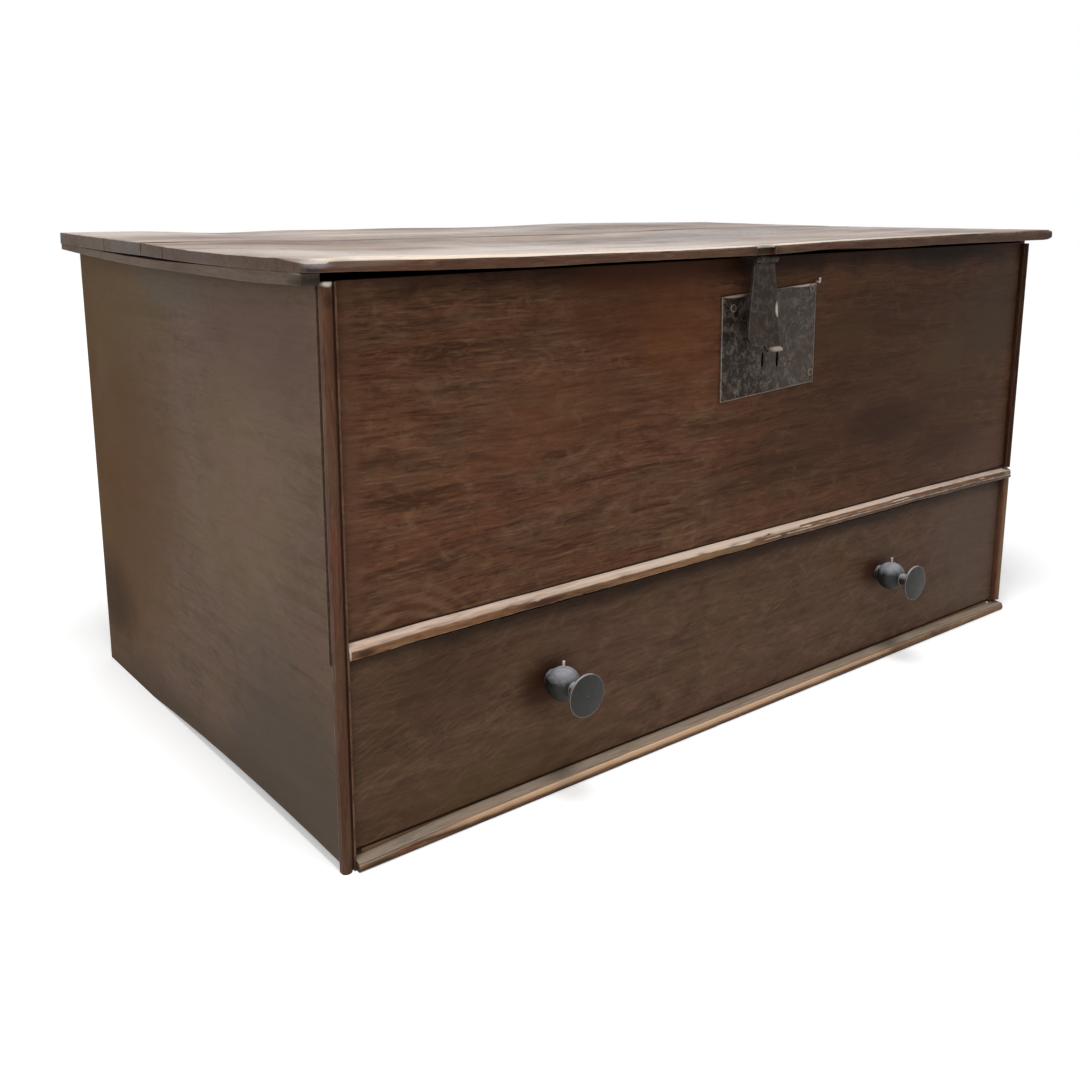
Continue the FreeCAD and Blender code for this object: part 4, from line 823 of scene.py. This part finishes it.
# ---- waist moulding
# A small oak moulding nailed along the foot of the front board, over the right corner strip. It
# is bowed a little and chipped along its nose, and its sloping top is bleached and dusty and
# painted paler still as lit from above, while its lower face is painted darker to the right, as in
# shade.
waist_brown = old_oak(
    "waist_oak", "X",
    (
        paint(58, 40, 28), paint(124, 90, 64), paint(118, 78, 54), paint(152, 120, 86),
        paint(206, 183, 166),
    ),
    (4.2, 2.1, 9.5), streak=1.0, gloss=0.05, dust_and_top_light=0.95,
    stains_and_painted_light=[
        # Painted top light with dust on the sloping top.
        ((0.03, 0, 0.180), (0.32, 0.02, 0.012), paint(204, 188, 172), 0.75, True),
        ((-0.436, 0, 0.1735), (0.012, 0.02, 0.004), paint(58, 42, 26), 0.9),
        ((-0.405, 0, 0.1730), (0.018, 0.02, 0.003), paint(122, 100, 66), 0.6),
        ((-0.270, 0, 0.1755), (0.035, 0.02, 0.003), paint(60, 38, 24), 0.8),
        ((-0.06, 0, 0.1750), (0.10, 0.02, 0.003), paint(138, 110, 76), 0.5),
        # Painted shade along the lower face at the right.
        ((0.30, 0, 0.1730), (0.34, 0.02, 0.006), paint(78, 60, 48), 0.85),
        ((0.453, 0, 0.1790), (0.008, 0.02, 0.006), paint(126, 112, 74), 0.9),
        ((-0.4490, 0, 0.176), (0.0020, 0.02, 0.008), paint(206, 194, 172), 0.9),
    ],
)


def bar_along(outline, start, stop, count):
    """A bar with this section in y and z, from start to stop along x, cut so that it can bend."""
    bm = bmesh.new()
    face = bm.faces.new([bm.verts.new((start, y, z)) for y, z in outline])
    grown = bmesh.ops.extrude_face_region(bm, geom=[face])["geom"]
    moved = [item for item in grown if isinstance(item, bmesh.types.BMVert)]
    bmesh.ops.translate(bm, vec=(stop - start, 0, 0), verts=moved)
    bm.normal_update()
    cut_across(bm, "X", spots_between(start, stop, count))
    return bm


def chip(bm, reach, depth, pitch, seed):
    """Dents the nose here and there: the nearer to the frontmost line, the more it may lose."""
    tall = 4 * mm
    front = min(vert.co.y for vert in bm.verts)
    for vert in bm.verts:
        close = max(0.0, 1 - (vert.co.y - front) / reach)
        spot = Vector((vert.co.x / pitch, vert.co.z / tall, seed))
        vert.co.y += depth * close * max(0.0, noise.noise(spot) - 0.15)


waist_low, waist_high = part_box("waist_moulding")
back, nose = waist_high.y, waist_low.y
foot, head = waist_low.z, waist_high.z
outline = [(back, foot - 2.1 * mm)]
for inward, up in (
    (1.1, 0), (0.2, 0.5), (0, 1.2), (0, 3.9), (0.9, 4.4), (0.9, 5.0), (0.1, 5.4), (0, 5.9),
    (0.2, 6.5), (0.8, 7.3), (2.0, 8.9), (3.6, 10.6),
):
    outline.append((nose + inward * mm, foot + up * mm))
outline += [(back - 0.3 * mm, head - 0.2 * mm), (back, head)]
bar_cuts = 260
moulding = bar_along(outline, waist_low.x, waist_high.x, bar_cuts)
# To the right its quirk is open and its slope rounder; to the left the quirk is worn shut.
quirk = (foot + 4.2 * mm, foot + 5.2 * mm)
quirk_fill = 0.8 * mm
slope = (foot + 8.5 * mm, foot + 9.3 * mm)
slope_out = Vector((0, -1.1 * mm, 0.5 * mm))
for vert in moulding.verts:
    to_right = ramp(vert.co.x, -0.1, 0.3)
    if quirk[0] < vert.co.z < quirk[1]:
        vert.co.y -= quirk_fill * (1 - to_right)
    if slope[0] < vert.co.z < slope[1]:
        vert.co += slope_out * to_right
chip(moulding, 3.5 * mm, 1.5 * mm, 14 * mm, 2.7)
for vert in moulding.verts:
    bow = 1.3 * mm - 1.5 * mm * bell(vert.co.x, waist_low.x, 0.05)
    bow -= 3.0 * mm * max(0.0, (vert.co.x - 0.24) / 0.22) ** 2
    vert.co.z += bow + 0.5 * mm * noise.noise(Vector((vert.co.x * 14, 0, 3.1)))
put(moulding, "waist_bar", waist_brown, "moulding_oak", "carcase", "waist_moulding")


# ---- base moulding
# A sloping oak ledge with a bold bead under it, nailed to the rail under the drawer and standing
# on the floor. The ledge is grey with dust and painted paler as lit from above, the bead is rubbed
# to a tan line with a painted highlight along its top, and its foot is bitten and darker with dirt
# and painted shade.
base_brown = old_oak(
    "base_oak", "X",
    (
        paint(54, 36, 26), paint(126, 92, 62), paint(118, 78, 52), paint(156, 122, 88),
        paint(142, 130, 116),
    ),
    (7.2, 3.1, 1.5), streak=0.85, gloss=0.05, dust_and_top_light=0.9,
    stains_and_painted_light=[
        # Painted highlight along the top of the bead, over tan rubbed wood.
        ((-0.08, -0.0040, 0.0078), (0.46, 0.0030, 0.0036), paint(190, 156, 124), 0.9),
        ((-0.08, -0.0040, 0.0092), (0.46, 0.0030, 0.0011), paint(218, 186, 156), 0.8),
        # Darker along the foot: dirt and painted shade.
        ((0, -0.003, 0.0), (1.0, 0.004, 0.0030), paint(60, 40, 28), 0.9),
        ((-0.41, 0.0, 0.012), (0.03, 0.01, 0.003), paint(176, 156, 138), 0.8),
        ((-0.43, -0.003, 0.002), (0.02, 0.006, 0.006), paint(50, 40, 30), 0.9),
    ],
)
base_low, base_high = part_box("base_moulding")
back, nose, head = base_high.y, base_low.y, base_high.z
edge = back - 10.4 * mm
bead_round, bead_middle = 7.6 * mm, 4.9 * mm
outline = [(back, 0)]
for step in range(9):
    turn = math.radians(-40 + 80 * step / 8)
    y = nose + bead_round * (1 - math.cos(turn))
    outline.append((y, bead_middle + bead_round * math.sin(turn)))
outline += [(edge, 10.4 * mm), (edge, 10.9 * mm), (edge + 0.4 * mm, 11.2 * mm), (back, head)]
moulding = bar_along(outline, base_low.x, base_high.x, bar_cuts)
chip(moulding, 2.5 * mm, 1.6 * mm, 20 * mm, 6.2)
# It has worn lower towards both ends.
for vert in moulding.verts:
    drop = 4.0 * mm * bell(vert.co.x, base_low.x, 0.07)
    drop += 3.2 * mm * max(0.0, (vert.co.x - 0.04) / 0.42) ** 2
    vert.co.z *= 1 - drop / head
    vert.co.z = max(0.0, vert.co.z)
put(moulding, "base_bar", base_brown, "moulding_oak", "carcase", "base_moulding")


# ---- ironwork
# The hasp with its hanger and staple, the lock and its plate, the hinges and the nails were all
# forged by hand: dark scale, hammer marks, brown rust and arrises rubbed bright. The tack and the
# knobs' pins are the brightest.
def forged_iron(
    name, scale_dark, scale_light, rust, bare, shift, metal=0.15, gloss=0.12, dust_and_top_light_tone=None,
    wear=1.0 * mm, spots_and_painted_light=(),
):
    """Forged iron: dark and light scale, rust, bare arrises, pits and painted shade in crevices.

    A spot is a centre, a reach along each axis, a colour and a strength: a polished place, a
    painted glint, or painted shade in a slit. Dust, with painted top light, lies on what faces up,
    and wear is how round the arrises are."""
    material = bpy.data.materials.new(name)
    material.use_nodes = True
    tree = material.node_tree
    shader = tree.nodes["Principled BSDF"]
    coordinates = node(tree, "TexCoord")
    own_place = coordinates.outputs["Object"]
    place = node(tree, "Mapping", {"Vector": own_place, "Location": shift}).outputs[0]
    mottle = clouds(tree, place, 150.0, 8.0, 0.75, 0.3)
    hammer = clouds(tree, place, 55.0, 2.0, 0.5)
    pits = clouds(tree, place, 620.0, 4.0, 0.6)
    colour = mixed(tree, between(tree, mottle, 0.46, 0.66), scale_dark, scale_light)
    colour = mixed(tree, between(tree, pits, 0.5, 0.36, 0.0, 0.6), colour, scale_dark)
    rusty = between(tree, clouds(tree, place, 38.0, 5.0, 0.6), 0.5, 0.68, 0.0, 0.8)
    colour = mixed(tree, rusty, colour, rust)
    rounded, edge = arrises(tree, wear)
    worn = times(tree, edge, between(tree, mottle, 0.3, 0.5, 0.4, 1.0))
    open_air = node(tree, "AmbientOcclusion", {"Distance": 6 * mm}, samples=6).outputs["AO"]
    worn = times(tree, worn, between(tree, open_air, 0.25, 0.5))
    colour = mixed(tree, worn, colour, bare)
    for centre, reach, tone, strength in spots_and_painted_light:
        near = away_from(tree, own_place, centre, reach)
        colour = mixed(tree, between(tree, near, 1.1, 0.6, 0.0, strength), colour, tone)
    # Dust on upward faces, also painting them paler as lit from above.
    if dust_and_top_light_tone:
        upward = node(tree, "SeparateXYZ", {0: coordinates.outputs["Normal"]}).outputs["Z"]
        unevenly = times(tree, math_of(tree, "SUBTRACT", mottle, 0.5), 0.9)
        upward = math_of(tree, "ADD", upward, unevenly)
        colour = mixed(tree, between(tree, upward, 0.3, 1.05), colour, dust_and_top_light_tone)
    # Painted shade: darker where the ambient occlusion finds crevices and gaps.
    colour = mixed(tree, between(tree, open_air, 0.7, 0.3, 0.0, 0.6), colour, paint(14, 11, 9))
    tree.links.new(colour, shader.inputs["Base Color"])
    shader.inputs["Metallic"].default_value = metal
    shader.inputs["Specular IOR Level"].default_value = gloss
    rough = between(tree, mottle, 0.3, 0.7, 0.42, 0.62)
    rough = math_of(tree, "ADD", rough, times(tree, rusty, 0.2))
    tree.links.new(rough, shader.inputs["Roughness"])
    relief = math_of(tree, "ADD", times(tree, hammer, 1.0 * mm), times(tree, pits, 0.1 * mm))
    relief = math_of(tree, "ADD", relief, times(tree, mottle, 0.2 * mm))
    height = {"Strength": 1.0, "Distance": 1.0, "Height": relief, "Normal": rounded}
    tree.links.new(node(tree, "Bump", height).outputs[0], shader.inputs["Normal"])
    return material


plate_iron = forged_iron(
    "plate_iron", paint(30, 23, 18), paint(110, 98, 88), paint(54, 38, 28), paint(160, 142, 128),
    (0.3, 0.1, 0.7), wear=1.6 * mm,
    spots_and_painted_light=[
        ((0.040, 0.003, 0.3750), (0.060, 0.020, 0.0700), paint(112, 103, 96), 0.2),
        ((0.052, 0.003, 0.4218), (0.022, 0.004, 0.0022), paint(176, 162, 150), 1.0),
        ((-0.044, 0.003, 0.4163), (0.016, 0.004, 0.0022), paint(166, 146, 132), 1.0),
        # Painted shade in the plate's two slits.
        ((-0.0017, 0.003, 0.3542), (0.0035, 0.010, 0.0105), paint(22, 18, 16), 0.9),
        ((0.0192, 0.003, 0.3529), (0.0035, 0.010, 0.0105), paint(22, 18, 16), 0.9),
    ],
)
strap_iron = forged_iron(
    "strap_iron", paint(38, 30, 24), paint(82, 70, 61), paint(68, 50, 38), paint(96, 82, 70),
    (4.3, 2.1, 0.2),
    spots_and_painted_light=[
        ((-0.001, -0.012, 0.3660), (0.014, 0.008, 0.0026), paint(150, 138, 126), 1.0),
        # Painted glint at the hasp's right edge.
        ((-0.0008, -0.012, 0.4038), (0.0045, 0.006, 0.0085), paint(190, 178, 164), 0.9),
    ],
)
bright_iron = forged_iron(
    "bright_iron", paint(160, 148, 136), paint(220, 210, 198), paint(134, 114, 94),
    paint(230, 220, 210), (2.7, 5.1, 6.2),
)
for iron in ("lock_plate", "plate_nails"):
    finish_node(iron, plate_iron)
for iron in (
    "hasp", "hasp_hanger", "hasp_pin", "hasp_staple", "lock_case", "lock_bolt", "bolt_guides",
    "bolt_spring", "key_pin", "hanger_nails", "hinge_strap_nails", "hinge_tail_nails",
    "hinge_tail_left", "hinge_strap_left", "hinge_pin_left",
    "hinge_tail_right", "hinge_strap_right", "hinge_pin_right",
):
    finish_node(iron, strap_iron)
for iron in ("bent_tack", "knob_pins"):
    finish_node(iron, bright_iron)


# ---- knobs
# Two turned iron knobs, each a ball behind a wide thin disc, held by a spigot through the drawer
# front. They are black with age and polished by hands, and paler on top with dust and painted top
# light.
knob_black = forged_iron(
    "knob_black", paint(16, 16, 14), paint(38, 38, 34), paint(26, 24, 20), paint(150, 136, 130),
    (9.1, 0.6, 3.2), metal=0.0, gloss=0.35, dust_and_top_light_tone=paint(150, 152, 156),
)
for knob in ("knob_left", "knob_right"):
    finish_node(knob, knob_black)
